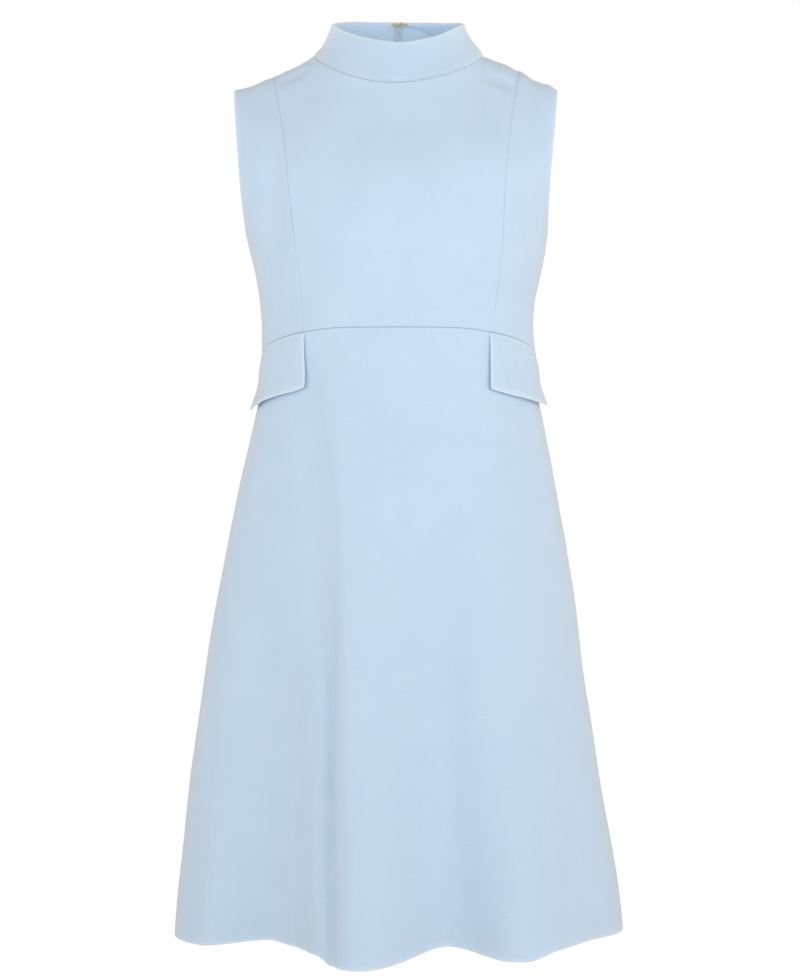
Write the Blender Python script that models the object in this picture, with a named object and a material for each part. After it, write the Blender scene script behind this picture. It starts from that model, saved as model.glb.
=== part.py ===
"""A sleeveless A-line dress with a stand collar, filled out as it is when worn.

Sizes are in millimetres and become metres as each mesh is made. +Z is up and the front faces -Y.
The origin is the middle of the neck, level with the inner ends of the shoulder seams, where the
wearer's shoulders carry the dress. An angle goes round the body from the front centre, in degrees,
positive towards +X, and is 90 at a side seam and 180 at the centre back.

Every panel is a wall of cloth cut from one worn surface: a rounded section at each height, which
rolls over into the shoulder seam at the top and breaks into soft folds towards the hem.
"""

import bisect
import math
from collections import namedtuple

import bmesh
import bpy
from mathutils import Vector

MM = 0.001

# ---------------------------------------------------------------- driving dimensions
WALL = 1.8  # one layer of double crepe
COLLAR_WALL = 2.4  # the collar is a folded band
FLAP_WALL = 2.0  # a flap is two layers
TAPE_WALL = 0.7
SEAM_GAP = 0.3  # between two pieces that are sewn together

NECK_HALF_WIDTH = 89.0  # the neck seam, at the shoulder
NECK_FRONT_DROP = 37.0  # the neck seam at the front centre, under the shoulder point
NECK_BACK_RISE = 6.0  # and at the centre back, over it
COLLAR_TOP_HALF_WIDTH = 69.5
COLLAR_TOP_FRONT = 58.0  # the top edge's reach forwards and backwards
COLLAR_TOP_BACK = 55.0
COLLAR_HEIGHT_FRONT = 5.8  # height of the top edge above the shoulder point
COLLAR_HEIGHT_SIDE = 36.2
COLLAR_HEIGHT_BACK = 47.0
COLLAR_FLARE = 1.35  # above 1, the collar stands steeper at its top than at its seam
UNDERARM = -186.0
ROLL_FRONT = 120.0  # height over which the front rolls over into the shoulder seam
ROLL_BACK = 70.0
HEM_LEVEL = -923.0
FOLD_TOP = -330.0  # the skirt hangs smooth above this
FOLD_GROWTH = 1.5

# ---------------------------------------------------------------- tables
Section = namedtuple("Section", "z half_width front back squareness lean")
SECTIONS = [  # lean is how far the middle lies towards +X. The armhole cuts off the widest part
    Section(-950, 237.5, 161, 160, 2.10, 2.5),
    Section(-880, 229, 157, 156, 2.11, 1.4),
    Section(-815, 220.2, 153, 150, 2.12, -0.6),
    Section(-738, 210, 148, 143, 2.12, -2.9),
    Section(-655, 198.2, 142, 135, 2.13, -3.4),
    Section(-570, 186.5, 134, 124, 2.15, -2.1),
    Section(-444, 164.5, 121, 103, 2.20, 0),
    Section(-402, 155.8, 116, 94, 2.25, 1.2),
    Section(-370, 149.3, 113, 88, 2.28, 1.2),
    Section(-340, 143.4, 109.5, 82, 2.30, 1.2),
    Section(-312, 142.4, 108, 78.5, 2.32, 0.8),
    Section(-285, 142.2, 109, 77, 2.34, -0.2),
    Section(-260, 143.8, 112, 80, 2.36, 0),
    Section(-235, 148.3, 116, 85, 2.38, 0.2),
    Section(-205, 154.3, 119, 90, 2.38, -0.8),
    Section(-186, 157.6, 118, 92, 2.36, -1.8),
    Section(-160, 164.5, 114, 93, 2.34, -2.2),
    Section(-130, 175, 106, 92, 2.32, -2.3),
    Section(-100, 187, 93, 88, 2.30, -2.3),
    Section(-70, 198, 79, 81, 2.30, -2.3),
    Section(-37, 204, 68, 72, 2.30, -1.8),
    Section(10, 206, 64, 61, 2.30, 0.8),
    Section(60, 206, 62, 58, 2.30, 0.8),
]

Ridge = namedtuple("Ridge", "x z")
RIDGE = [  # the shoulder seam seen from the front, carried on under the collar to the neck's middle
    Ridge(0, 52),
    Ridge(40, 42),
    Ridge(66, 24),
    Ridge(80, 9),
    Ridge(89, 0),
    Ridge(101, -6),
    Ridge(124, -17),
    Ridge(146, -26.5),
    Ridge(169, -33),
    Ridge(210, -42),
]

PRINCESS_TOP = 127.5  # across to where the princess seam meets the shoulder
Princess = namedtuple("Princess", "z x")
PRINCESS = [  # the seam from the shoulder down over the bust
    Princess(-320, 95),
    Princess(-296, 96),
    Princess(-268, 98),
    Princess(-206, 105),
    Princess(-131, 111.4),
    Princess(-86, 116.3),
    Princess(-48, 123),
    Princess(-20, PRINCESS_TOP),
]

SHOULDER_TIP = 169.0
Armhole = namedtuple("Armhole", "z x")
ARMHOLE = [
    Armhole(UNDERARM, 157.6),
    Armhole(-171, 158.3),
    Armhole(-150, 159.3),
    Armhole(-129, 160.6),
    Armhole(-97, 163.5),
    Armhole(-66, 166.6),
    Armhole(-34, SHOULDER_TIP),
    Armhole(-10, SHOULDER_TIP),
]

Waist = namedtuple("Waist", "angle z")
WAIST = [  # the empire seam rises under the bust
    Waist(0, -290),
    Waist(20, -290.3),
    Waist(40, -294.2),
    Waist(60, -300),
    Waist(75, -305),
    Waist(90, -310),
    Waist(130, -312),
    Waist(180, -312),
]

Fold = namedtuple("Fold", "angle out hem")
FOLDS = [  # crests and troughs at the hem: how far out each stands, and the height of the hem there
    Fold(-180, 4, -917),
    Fold(-152, 19, -921),
    Fold(-124, -15, -911),
    Fold(-92, 2, -917),
    Fold(-57, 8, -914.5),
    Fold(-36, -27, -905.5),
    Fold(-28, -21, -908.5),
    Fold(-16, 17, -920),
    Fold(-8, 27, -923),
    Fold(12, -23, -909),
    Fold(30, 20, -919),
    Fold(58, -4, -911),
    Fold(91, 3, -914),
    Fold(122, -13, -910),
    Fold(149, 17, -921),
    Fold(180, 4, -917),
]

SHOULDER_COLUMNS = [101, 114, PRINCESS_TOP]  # where columns of the centre front meet the shoulder
SIDE_COLUMNS = [PRINCESS_TOP, 134, 141.5, 149, 156.5, 163, SHOULDER_TIP]
BACK_SHOULDER_COLUMNS = [101, 114, 127.5, 141.5, 156.5, SHOULDER_TIP]
NECK_STEPS = 8  # columns of the neck seam in each quarter
TAPE_EDGE = 12.0  # a column of the back lies on the edge of the zip's tape
LOWER_ROWS = 6  # rows of a bodice panel under the underarm
UPPER_ROWS = 9
SKIRT_ROWS = 14
SKIRT_STEP = 5.0  # degrees between the skirt's columns
COLLAR_ROWS = 4

# flaps
Flap = namedtuple("Flap", "name side inner depth_inner depth_outer lift_inner lift_outer")
FLAPS = [  # inner is from the centre front to the inner edge, and lift is further out at the free edge
    Flap("flap_left", -1, 95.4, 58, 61, 2.5, 5),
    Flap("flap_right", 1, 92.6, 59, 59, 2.5, 6),
]
FLAP_OUTER_ANGLE = 96.0  # a flap ends just round the side seam
FLAP_CORNER = 7.0  # radius of the inner corner
FLAP_GAP = 0.8  # clear of the skirt at the seam
FLAP_COLUMNS = 8
FLAP_ROWS = 4

# zip, hook and eye
ZIP_END = 5  # the zip runs down past this many rows of the skirt
TAPE_GAP = 0.5
TAPE_STRIP = 4.2  # the width of tape that shows inside the collar
TAPE_HEIGHTS = (0.1, 0.32, 0.62, 0.96)  # its rows, as shares of the collar's height
SLIDER_HEIGHT = 33.0  # of the slider's middle, and so of the pull's axis
SLIDER_SIZE = (3.6, 1.3, 8.0)
ARCH_HALF_LENGTH = 3.0
ARCH_HALF_WIDTH = 0.7
ARCH_BAR = 0.8
ARCH_OPEN = 1.55  # clear depth under the arch
PULL_AXIS_OUT = 0.75  # the pull's cross bar over the slider's face
PULL_BAR = 0.45  # its half thickness
PULL_HALF_THICKNESS = 0.4
PULL_SLOT_HALF_WIDTH = 1.1
PULL_SLOT_END = 4.0
PULL_HALF_WIDTH = 2.1
PULL_NECK_HALF_WIDTH = 1.9
PULL_LENGTH = 17.0
WIRE_RADIUS = 0.42
EYE_CENTRE = (4.0, 49.5, 44.0)
EYE_HALF_SIZE = (3.5, 2.2)  # to the middle of the wire
EYE_FOOT = 7.2  # from its centre to the end that is sewn to the collar
FOOT_HALF_WIDTH = 0.75
HOOK_FOOT = 9.0

Material = namedtuple("Material", "name colour roughness metallic")
CREPE = Material("powder_blue_crepe", (0.53, 0.68, 0.84), 0.85, 0.0)
COLLAR_CREPE = Material("collar_crepe", (0.52, 0.67, 0.84), 0.85, 0.0)
TAPE = Material("zip_tape", (0.50, 0.63, 0.78), 0.9, 0.0)
GOLD = Material("gold_plated_brass", (0.83, 0.66, 0.33), 0.28, 1.0)


# ---------------------------------------------------------------- curves through the tables
class Curve:
    """A smooth curve through one column of a table, which doesn't overshoot its rows."""

    def __init__(self, rows, along, column):
        rows = sorted(rows, key=lambda row: getattr(row, along))
        self.places = [getattr(row, along) for row in rows]
        self.values = [getattr(row, column) for row in rows]
        steps = [b - a for a, b in zip(self.places, self.places[1:])]
        rises = [(b - a) / step for a, b, step in zip(self.values, self.values[1:], steps)]
        self.slopes = [rises[0]]
        for i in range(1, len(rises)):
            before, after = rises[i - 1], rises[i]
            if before * after <= 0:
                self.slopes.append(0.0)
                continue
            near, far = 2 * steps[i] + steps[i - 1], steps[i] + 2 * steps[i - 1]
            self.slopes.append((near + far) / (near / before + far / after))
        self.slopes.append(rises[-1])

    def __call__(self, place):
        place = min(max(place, self.places[0]), self.places[-1])
        i = min(max(bisect.bisect_right(self.places, place) - 1, 0), len(self.places) - 2)
        step = self.places[i + 1] - self.places[i]
        t = (place - self.places[i]) / step
        return (
            (1 + 2 * t) * (1 - t) ** 2 * self.values[i]
            + t * (1 - t) ** 2 * step * self.slopes[i]
            + t * t * (3 - 2 * t) * self.values[i + 1]
            + t * t * (t - 1) * step * self.slopes[i + 1]
        )


half_width = Curve(SECTIONS, "z", "half_width")
front_depth = Curve(SECTIONS, "z", "front")
back_depth = Curve(SECTIONS, "z", "back")
squareness = Curve(SECTIONS, "z", "squareness")
lean = Curve(SECTIONS, "z", "lean")
ridge = Curve(RIDGE, "x", "z")
princess_x = Curve(PRINCESS, "z", "x")
armhole_x = Curve(ARMHOLE, "z", "x")
waist_z = Curve(WAIST, "angle", "z")
fold_out = Curve(FOLDS, "angle", "out")
hem_z = Curve(FOLDS, "angle", "hem")


def mix(a, b, share):
    return a + (b - a) * share


# ---------------------------------------------------------------- the worn surface
def roll(x, z, height):
    """Share of the body's full depth at this place: 0 on the shoulder seam, 1 well under it."""
    under = (ridge(abs(x)) - z) / height
    if under >= 1:
        return 1.0
    return math.sqrt(1 - (1 - max(under, 0)) ** 2)


def fold(angle, z):
    """How far a fold stands out from the plain section. A fold runs straight down in front view."""
    drop = (FOLD_TOP - z) / (FOLD_TOP - HEM_LEVEL)
    if drop <= 0:
        return 0.0
    narrower = half_width(z) / half_width(HEM_LEVEL) - 1
    at = angle + math.degrees(0.5 * narrower * math.sin(2 * math.radians(angle)))
    return fold_out(at) * min(drop, 1) ** FOLD_GROWTH


def upright(angle, z):
    """The point of the outer face at this angle and height, before the dress leans to a side."""
    turn = math.radians(angle)
    power = 2 / squareness(z)
    side, ahead = math.sin(turn), math.cos(turn)
    depth, height = (front_depth(z), ROLL_FRONT) if ahead > 0 else (back_depth(z), ROLL_BACK)
    x = half_width(z) * math.copysign(abs(side) ** power, side)
    y = -depth * roll(x, z, height) * math.copysign(abs(ahead) ** power, ahead)
    out = fold(angle, z)
    if out:
        way = Vector((x / half_width(z) ** 2, y / depth**2, 0)).normalized()
        return Vector((x, y, z)) + way * out
    return Vector((x, y, z))


def worn(angle, z):
    """The point of the dress's outer face at this angle and height."""
    return upright(angle, z) + Vector((lean(z), 0, 0))


def facing(angle, z):
    """The outward normal of the outer face."""
    point = upright(angle, z)
    under = ridge(abs(point.x)) - z
    if under < 0.05:  # on the shoulder seam, where the roll is level from front to back
        slope = ridge(abs(point.x) + 1) - ridge(abs(point.x))
        return Vector((-math.copysign(slope, point.x), 0, 1)).normalized()
    rise = min(0.5, under / 3)
    around = worn(angle + 0.4, z) - worn(angle - 0.4, z)
    up = worn(angle, z + rise) - worn(angle, z - rise)
    return around.cross(up).normalized()


def angle_of(x, z):
    """The angle of the front half at which the plain section is this wide."""
    share = min(abs(x) / half_width(z), 1.0)
    return math.copysign(math.degrees(math.asin(share ** (squareness(z) / 2))), x)


def princess_angle(z):
    return angle_of(princess_x(z), z)


def edge_angle(z):
    """The side seam's angle, and above the underarm the armhole's front edge."""
    if z <= UNDERARM:
        return 90.0
    return angle_of(armhole_x(z), z)


def neck_point(turn, behind=False):
    """Angle and height of the neck seam, for a turn round the neck from its front.

    A turn of 90 is the end of a shoulder seam, where the front's angle and the back's differ.
    """
    turn = math.remainder(turn, 360)
    ahead = math.cos(math.radians(turn))
    behind = behind or ahead < 0
    z = NECK_BACK_RISE * ahead**2 if behind else -NECK_FRONT_DROP * abs(ahead) ** 1.5
    angle = angle_of(NECK_HALF_WIDTH * math.sin(math.radians(turn)), z)
    if behind:
        angle = math.copysign(180, turn) - angle
    return angle, z


def collar_point(turn, height):
    """The collar's outer face, at a turn round the neck and a share of its height."""
    base = worn(*neck_point(turn))
    side, ahead = math.sin(math.radians(turn)), math.cos(math.radians(turn))
    if ahead > 0:
        reach, top = -COLLAR_TOP_FRONT * ahead, COLLAR_HEIGHT_FRONT
        share = ahead**2
    else:
        reach, top = -COLLAR_TOP_BACK * ahead, COLLAR_HEIGHT_BACK
        share = abs(ahead) ** 1.4
    across = COLLAR_TOP_HALF_WIDTH * side + lean(COLLAR_HEIGHT_SIDE)
    crown = Vector((across, reach, mix(COLLAR_HEIGHT_SIDE, top, share)))
    inwards = 1 - (1 - height) ** COLLAR_FLARE
    point = base.lerp(crown, inwards)
    point.z = mix(base.z, crown.z, height)
    return point


def collar_facing(turn, height):
    low, high = max(height - 0.03, 0), min(height + 0.03, 1)
    around = collar_point(turn + 0.5, height) - collar_point(turn - 0.5, height)
    up = collar_point(turn, high) - collar_point(turn, low)
    return around.cross(up).normalized()


# ---------------------------------------------------------------- making solids
def material(look):
    """The look's Principled material, made once."""
    made = bpy.data.materials.get(look.name)
    if made:
        return made
    made = bpy.data.materials.new(look.name)
    made.use_nodes = True
    shader = made.node_tree.nodes["Principled BSDF"]
    shader.inputs["Base Color"].default_value = (*look.colour, 1)
    shader.inputs["Roughness"].default_value = look.roughness
    shader.inputs["Metallic"].default_value = look.metallic
    made.diffuse_color = (*look.colour, 1)
    return made


def add_object(name, mesh, look):
    mesh.materials.append(material(look))
    made = bpy.data.objects.new(name, mesh)
    bpy.context.collection.objects.link(made)
    return made


def drawn_back(grid, sides):
    """A grid of points with these sides moved half a seam gap into the piece."""
    grid = [list(row) for row in grid]
    steps = {"bottom": (0, 1), "top": (-1, -2), "left": (0, 1), "right": (-1, -2)}
    for side in sides:
        edge, inner = steps[side]
        if side in ("bottom", "top"):
            pairs = [((edge, j), (inner, j)) for j in range(len(grid[0]))]
        else:
            pairs = [((i, edge), (i, inner)) for i in range(len(grid))]
        for (i, j), (k, m) in pairs:
            grid[i][j] = grid[i][j] + (grid[k][m] - grid[i][j]).normalized() * SEAM_GAP / 2
    return grid


def wall(name, outer, inner, look):
    """A closed piece of cloth between two grids of points, each a list of rows."""
    shape = bmesh.new()
    faces = [[[shape.verts.new(p * MM) for p in row] for row in grid] for grid in (outer, inner)]
    rows, columns = len(outer), len(outer[0])
    for grid in faces:
        for i in range(rows - 1):
            for j in range(columns - 1):
                shape.faces.new((grid[i][j], grid[i][j + 1], grid[i + 1][j + 1], grid[i + 1][j]))
    rim = [(0, j) for j in range(columns)]
    rim += [(i, columns - 1) for i in range(1, rows)]
    rim += [(rows - 1, j) for j in range(columns - 2, -1, -1)]
    rim += [(i, 0) for i in range(rows - 2, 0, -1)]
    for ends in zip(rim, rim[1:] + rim[:1]):
        (i, j), (k, m) = sorted(ends)  # so that the pieces on both sides of a seam match
        shape.faces.new((faces[0][i][j], faces[0][k][m], faces[1][k][m]))
        shape.faces.new((faces[0][i][j], faces[1][k][m], faces[1][i][j]))
    bmesh.ops.recalc_face_normals(shape, faces=shape.faces)
    mesh = bpy.data.meshes.new(name)
    shape.to_mesh(mesh)
    shape.free()
    mesh.shade_smooth()
    mesh.set_sharp_from_angle(angle=math.radians(50))
    return add_object(name, mesh, look)


def panel(name, places, seams, look=CREPE, thickness=WALL):
    """A wall on the worn surface. places is a grid of (angle, height)."""
    points = [[worn(*place) for place in row] for row in places]
    normals = [[facing(*place) for place in row] for row in places]
    outer = drawn_back(points, seams)
    inner = [[p - n * thickness for p, n in zip(*rows)] for rows in zip(points, normals)]
    return wall(name, outer, drawn_back(inner, seams), look)


# ---------------------------------------------------------------- where the panels' points lie
def bodice_levels(bottom, top):
    """Heights of a column's rows. One row is at the underarm, and rows are closer near the top."""
    lower = [mix(bottom, UNDERARM, i / LOWER_ROWS) for i in range(LOWER_ROWS)]
    turns = [math.pi * i / UPPER_ROWS for i in range(UPPER_ROWS + 1)]
    return lower + [mix(UNDERARM, top, (1 - math.cos(turn)) / 2) for turn in turns]


def column_places(share, left, right, top):
    """(angle, height) of a column that lies this share of the way from left to right."""
    z = UNDERARM
    for _ in range(6):
        z = waist_z(abs(mix(left(z), right(z), share)))
    return [(mix(left(z), right(z), share), z) for z in bodice_levels(z, top)]


def columns_to_rows(columns):
    return [list(row) for row in zip(*columns)]


def share_between(angle, z, left, right):
    return (angle - left(z)) / (right(z) - left(z))


def centre_front_places():
    """From princess seam to princess seam. The top is the neck seam and a stretch of each shoulder."""

    def left(z):
        return -princess_angle(z)

    columns = []
    shoulder = [-x for x in reversed(SHOULDER_COLUMNS)]
    turns = [90 * i / NECK_STEPS for i in range(-NECK_STEPS, NECK_STEPS + 1)]
    tops = [(angle_of(x, ridge(abs(x))), ridge(abs(x))) for x in shoulder]
    tops += [neck_point(turn) for turn in turns]
    tops += [(angle_of(x, ridge(x)), ridge(x)) for x in SHOULDER_COLUMNS]
    for angle, top in tops:
        share = share_between(angle, top, left, princess_angle)
        columns.append(column_places(share, left, princess_angle, top))
    return columns_to_rows(columns)


def side_front_places():
    """The viewer's right side front, from the princess seam to the side seam and armhole."""
    columns = []
    for x in SIDE_COLUMNS:
        top = ridge(x)
        share = share_between(angle_of(x, top), top, princess_angle, edge_angle)
        columns.append(column_places(share, princess_angle, edge_angle, top))
    return columns_to_rows(columns)


def back_places():
    """The back on the viewer's right, from the side seam and armhole to the centre back."""

    def side(z):
        return 180 - edge_angle(z)

    def centre(z):
        return 180.0

    columns = []
    for x in reversed(BACK_SHOULDER_COLUMNS):
        top = ridge(x)
        share = share_between(180 - angle_of(x, top), top, side, centre)
        columns.append(column_places(share, side, centre, top))
    turns = [90 + 90 * i / NECK_STEPS for i in range(NECK_STEPS)]
    turns += [180 - math.degrees(math.asin(TAPE_EDGE / NECK_HALF_WIDTH)), 180]
    for turn in turns:
        angle, top = neck_point(turn, behind=True)
        share = share_between(angle, top, side, centre)
        columns.append(column_places(share, side, centre, top))
    return columns_to_rows(columns)


def skirt_places(angles):
    """A skirt panel between the hem and the waist seam, its rows closer together near the seam."""
    rows = []
    for i in range(SKIRT_ROWS + 1):
        share = 1 - (1 - i / SKIRT_ROWS) ** 1.3
        rows.append([(angle, mix(hem_z(angle), waist_z(abs(angle)), share)) for angle in angles])
    return rows


# ---------------------------------------------------------------- the pieces
def add_bodice():
    panel("bodice_centre_front", centre_front_places(), ("bottom", "top", "left", "right"))
    right = side_front_places()
    back = back_places()
    for name, places, seams in (
        ("bodice_side_front", right, ("bottom", "top", "left")),
        ("bodice_back", back, ("bottom", "top", "right")),
    ):
        panel(name + "_right", places, seams)
        flipped = [[(-angle, z) for angle, z in reversed(row)] for row in places]
        swap = {"left": "right", "right": "left"}
        panel(name + "_left", flipped, [swap.get(seam, seam) for seam in seams])


def skirt_back_angles():
    """Columns of the right skirt back, with one on the edge of the zip's tape."""
    tape = 180 - angle_of(TAPE_EDGE, WAIST[-1].z)
    return [90 + SKIRT_STEP * i for i in range(round(85 / SKIRT_STEP) + 1)] + [tape, 180.0]


def add_skirt():
    front = [-90 + SKIRT_STEP * i for i in range(round(180 / SKIRT_STEP) + 1)]
    panel("skirt_front", skirt_places(front), ("top", "left", "right"))
    right = skirt_back_angles()
    left = [-angle for angle in reversed(right)]
    panel("skirt_back_right", skirt_places(right), ("top", "left", "right"))
    panel("skirt_back_left", skirt_places(left), ("top", "left", "right"))


def collar_turns():
    """Turns of the collar's columns, from the centre back round the front and back again."""
    quarter = [90 * i / NECK_STEPS for i in range(2 * NECK_STEPS)]
    half = quarter + [180 - math.degrees(math.asin(TAPE_EDGE / NECK_HALF_WIDTH)), 180]
    return [-turn for turn in reversed(half[1:])] + half


def add_collar():
    turns = collar_turns()
    heights = [i / COLLAR_ROWS for i in range(COLLAR_ROWS + 1)]
    points = [[collar_point(turn, height) for turn in turns] for height in heights]
    normals = [[collar_facing(turn, height) for turn in turns] for height in heights]
    inner = [[p - n * COLLAR_WALL for p, n in zip(*rows)] for rows in zip(points, normals)]
    seams = ("bottom", "left", "right")
    wall("collar", drawn_back(points, seams), drawn_back(inner, seams), COLLAR_CREPE)


def flap_shares():
    """Places across a flap, closer together round its inner corner, as shares of its width."""
    width = half_width(WAIST[-1].z)
    near = [FLAP_CORNER / width * share for share in (0, 0.12, 0.45)]
    return near + [mix(FLAP_CORNER / width, 1, i / FLAP_COLUMNS) for i in range(FLAP_COLUMNS + 1)]


def flap_grid(flap, out):
    """A grid on a flap, this far out from its face that lies against the skirt."""
    rows = []
    for i in range(FLAP_ROWS + 1):
        down = i / FLAP_ROWS
        row = []
        for across in flap_shares():
            depth = mix(flap.depth_inner, flap.depth_outer, across)
            to_corner = max(FLAP_CORNER - across * half_width(WAIST[-1].z), 0)
            depth -= FLAP_CORNER - math.sqrt(FLAP_CORNER**2 - to_corner**2)
            z = waist_z(45)
            for _ in range(4):
                angle = mix(angle_of(flap.inner - 1.5 * down, z), FLAP_OUTER_ANGLE, across)
                z = waist_z(angle) - SEAM_GAP - down * depth
            lift = mix(flap.lift_inner, flap.lift_outer, across) * down**1.5
            place = (flap.side * angle, z)
            row.append(worn(*place) + facing(*place) * (FLAP_GAP + lift + out))
        rows.insert(0, row[:: flap.side])
    return rows


def add_flaps():
    for flap in FLAPS:
        wall(flap.name, flap_grid(flap, FLAP_WALL), flap_grid(flap, 0), CREPE)


def inside_corner(turn, offset):
    """The place inside the neck seam that is this far from the bodice and from the collar."""
    place = neck_point(turn, behind=True)
    below, above = facing(*place), collar_facing(turn, 0)
    bend = below.dot(above)
    into_bodice, into_collar = WALL + offset, COLLAR_WALL + offset
    a = (into_bodice - into_collar * bend) / (1 - bend**2)
    b = (into_collar - into_bodice * bend) / (1 - bend**2)
    return worn(*place) - below * a - above * b


def tape_line(side, offset):
    """Two columns of points down the inside of a back, on the zip's tape.

    They are the back's own points at the centre and at the tape's edge, moved in, from the
    lowest row of the zip up through the skirt, the bodice and the collar.
    """
    skirt = [row[-2:] for row in skirt_places(skirt_back_angles())[SKIRT_ROWS - ZIP_END :]]
    bodice = [row[-2:] for row in back_places()][1:-1]  # its ends are on seams
    rows = []
    for row in skirt + bodice:
        places = [(side * angle, z) for angle, z in row]
        rows.append([worn(*place) - facing(*place) * (WALL + offset) for place in places])
    rows.append([inside_corner(side * turn, offset) for turn in collar_turns()[-2:]])
    edge = 180 - math.degrees(math.asin(TAPE_STRIP / NECK_HALF_WIDTH))
    for height in TAPE_HEIGHTS:
        row = []
        for turn in (side * edge, side * 180):
            row.append(
                collar_point(turn, height) - collar_facing(turn, height) * (COLLAR_WALL + offset)
            )
        rows.append(row)
    return [row[::side] for row in rows]


def add_zip_tapes():
    for name, side, seam in (("zip_tape_left", -1, "left"), ("zip_tape_right", 1, "right")):
        outer = drawn_back(tape_line(side, TAPE_GAP), (seam,))
        inner = drawn_back(tape_line(side, TAPE_GAP + TAPE_WALL), (seam,))
        wall(name, outer, inner, TAPE)


def add_box(name, low, high, look):
    """A block between two corners."""
    shape = bmesh.new()
    bmesh.ops.create_cube(shape, size=1.0)
    size = Vector(high) - Vector(low)
    middle = (Vector(high) + Vector(low)) / 2
    for vert in shape.verts:
        vert.co = Vector(a * b for a, b in zip(vert.co, size)) + middle
        vert.co *= MM
    mesh = bpy.data.meshes.new(name)
    shape.to_mesh(mesh)
    shape.free()
    return add_object(name, mesh, look)


def extruded(name, outline, thickness, axis_place, look):
    """A flat outline in X and Z, given this thickness along Y around a place on the joint's axis."""
    shape = bmesh.new()
    loops = []
    for y in (-thickness, thickness):
        loops.append([[shape.verts.new(Vector((x, y, z)) * MM) for x, z in ring] for ring in outline])
    outer_ring, hole = 0, 1
    count = len(outline[outer_ring])
    for front, flip in ((loops[0], False), (loops[1], True)):
        for i in range(count):
            k = (i + 1) % count
            face = (front[outer_ring][i], front[outer_ring][k], front[hole][k], front[hole][i])
            shape.faces.new(tuple(reversed(face)) if flip else face)
    for ring in (outer_ring, hole):
        for i in range(count):
            k = (i + 1) % count
            shape.faces.new((loops[0][ring][i], loops[0][ring][k], loops[1][ring][k], loops[1][ring][i]))
    bmesh.ops.recalc_face_normals(shape, faces=shape.faces)
    mesh = bpy.data.meshes.new(name)
    shape.to_mesh(mesh)
    shape.free()
    made = add_object(name, mesh, look)
    made.location = axis_place * MM
    return made


def slider_place():
    """Where the pull's axis is: out from the collar's back face, over the slider."""
    face = next(
        collar_point(180, height / 100)
        for height in range(101)
        if collar_point(180, height / 100).z >= SLIDER_HEIGHT
    )
    low = collar_point(180, 0.5)
    return Vector((face.x, max(face.y, low.y) + SEAM_GAP, SLIDER_HEIGHT))


def add_slider(place):
    """The slider's plate, with the arch that holds the pull, as one solid."""
    width, depth, height = SLIDER_SIZE
    outer_y = place.y + depth + ARCH_OPEN + ARCH_BAR
    plate = add_box(
        "zip_slider",
        (place.x - width / 2, place.y, place.z - height / 2),
        (place.x + width / 2, place.y + depth, place.z + height / 2),
        GOLD,
    )
    reach = ARCH_HALF_LENGTH + ARCH_BAR / 2
    arch = add_box(
        "arch",
        (place.x - ARCH_HALF_WIDTH, place.y + depth / 2, place.z - reach),
        (place.x + ARCH_HALF_WIDTH, outer_y, place.z + reach),
        GOLD,
    )
    opening = add_box(
        "arch_opening",
        (place.x - width, place.y + depth, place.z - reach + ARCH_BAR),
        (place.x + width, outer_y - ARCH_BAR, place.z + reach - ARCH_BAR),
        GOLD,
    )
    for cutter in (arch, opening):
        cutter.hide_render = True
        cutter.display_type = "WIRE"
    for tool, operation in ((arch, "UNION"), (opening, "DIFFERENCE")):
        boolean = plate.modifiers.new(operation, "BOOLEAN")
        boolean.operation = operation
        boolean.object = tool


def add_pull(place):
    """The pull: a drop-shaped plate with a slot, whose cross bar turns under the slider's arch."""
    width, depth, _ = SLIDER_SIZE
    axis = Vector((place.x, place.y + depth + PULL_AXIS_OUT, place.z))
    slot_top, slot_end = -PULL_BAR, -PULL_SLOT_END
    slot = PULL_SLOT_HALF_WIDTH
    half, neck = PULL_HALF_WIDTH, PULL_NECK_HALF_WIDTH
    hole = [(-slot, slot_top), (slot, slot_top), (slot, slot_end), (-slot, slot_end)]
    # the outline has the hole's four corners and two more points on each long side of the drop
    outer = [(-neck, PULL_BAR), (neck, PULL_BAR), (neck, slot_end - 1), (-neck, slot_end - 1)]
    top = extruded("zip_pull", (outer, hole), PULL_HALF_THICKNESS, axis, GOLD)
    shape = bmesh.new()
    drop = [(-neck, slot_end - 0.5), (neck, slot_end - 0.5), (half, slot_end - 2.5)]
    for step in range(9):
        turn = math.pi * step / 8
        drop.append((half * math.cos(turn), -PULL_LENGTH + half - half * math.sin(turn)))
    drop.append((-half, slot_end - 2.5))
    rings = [
        [shape.verts.new(Vector((x, y, z)) * MM) for x, z in drop]
        for y in (-PULL_HALF_THICKNESS, PULL_HALF_THICKNESS)
    ]
    shape.faces.new(rings[0])
    shape.faces.new(tuple(reversed(rings[1])))
    for i in range(len(drop)):
        k = (i + 1) % len(drop)
        shape.faces.new((rings[0][i], rings[1][i], rings[1][k], rings[0][k]))
    bmesh.ops.recalc_face_normals(shape, faces=shape.faces)
    mesh = bpy.data.meshes.new("drop")
    shape.to_mesh(mesh)
    shape.free()
    drop_object = add_object("drop", mesh, GOLD)
    drop_object.location = axis * MM
    drop_object.hide_render = True
    drop_object.display_type = "WIRE"
    boolean = top.modifiers.new("drop", "BOOLEAN")
    boolean.operation = "UNION"
    boolean.object = drop_object


def wire(name, points, closed):
    """A round wire through these points."""
    line = bpy.data.curves.new(name, "CURVE")
    line.dimensions = "3D"
    line.bevel_depth = WIRE_RADIUS * MM
    line.bevel_resolution = 1
    line.use_fill_caps = not closed
    spline = line.splines.new("POLY")
    spline.points.add(len(points) - 1)
    for knot, point in zip(spline.points, points):
        knot.co = (*(Vector(point) * MM), 1)
    spline.use_cyclic_u = closed
    line.materials.append(material(GOLD))
    made = bpy.data.objects.new(name, line)
    bpy.context.collection.objects.link(made)


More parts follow.
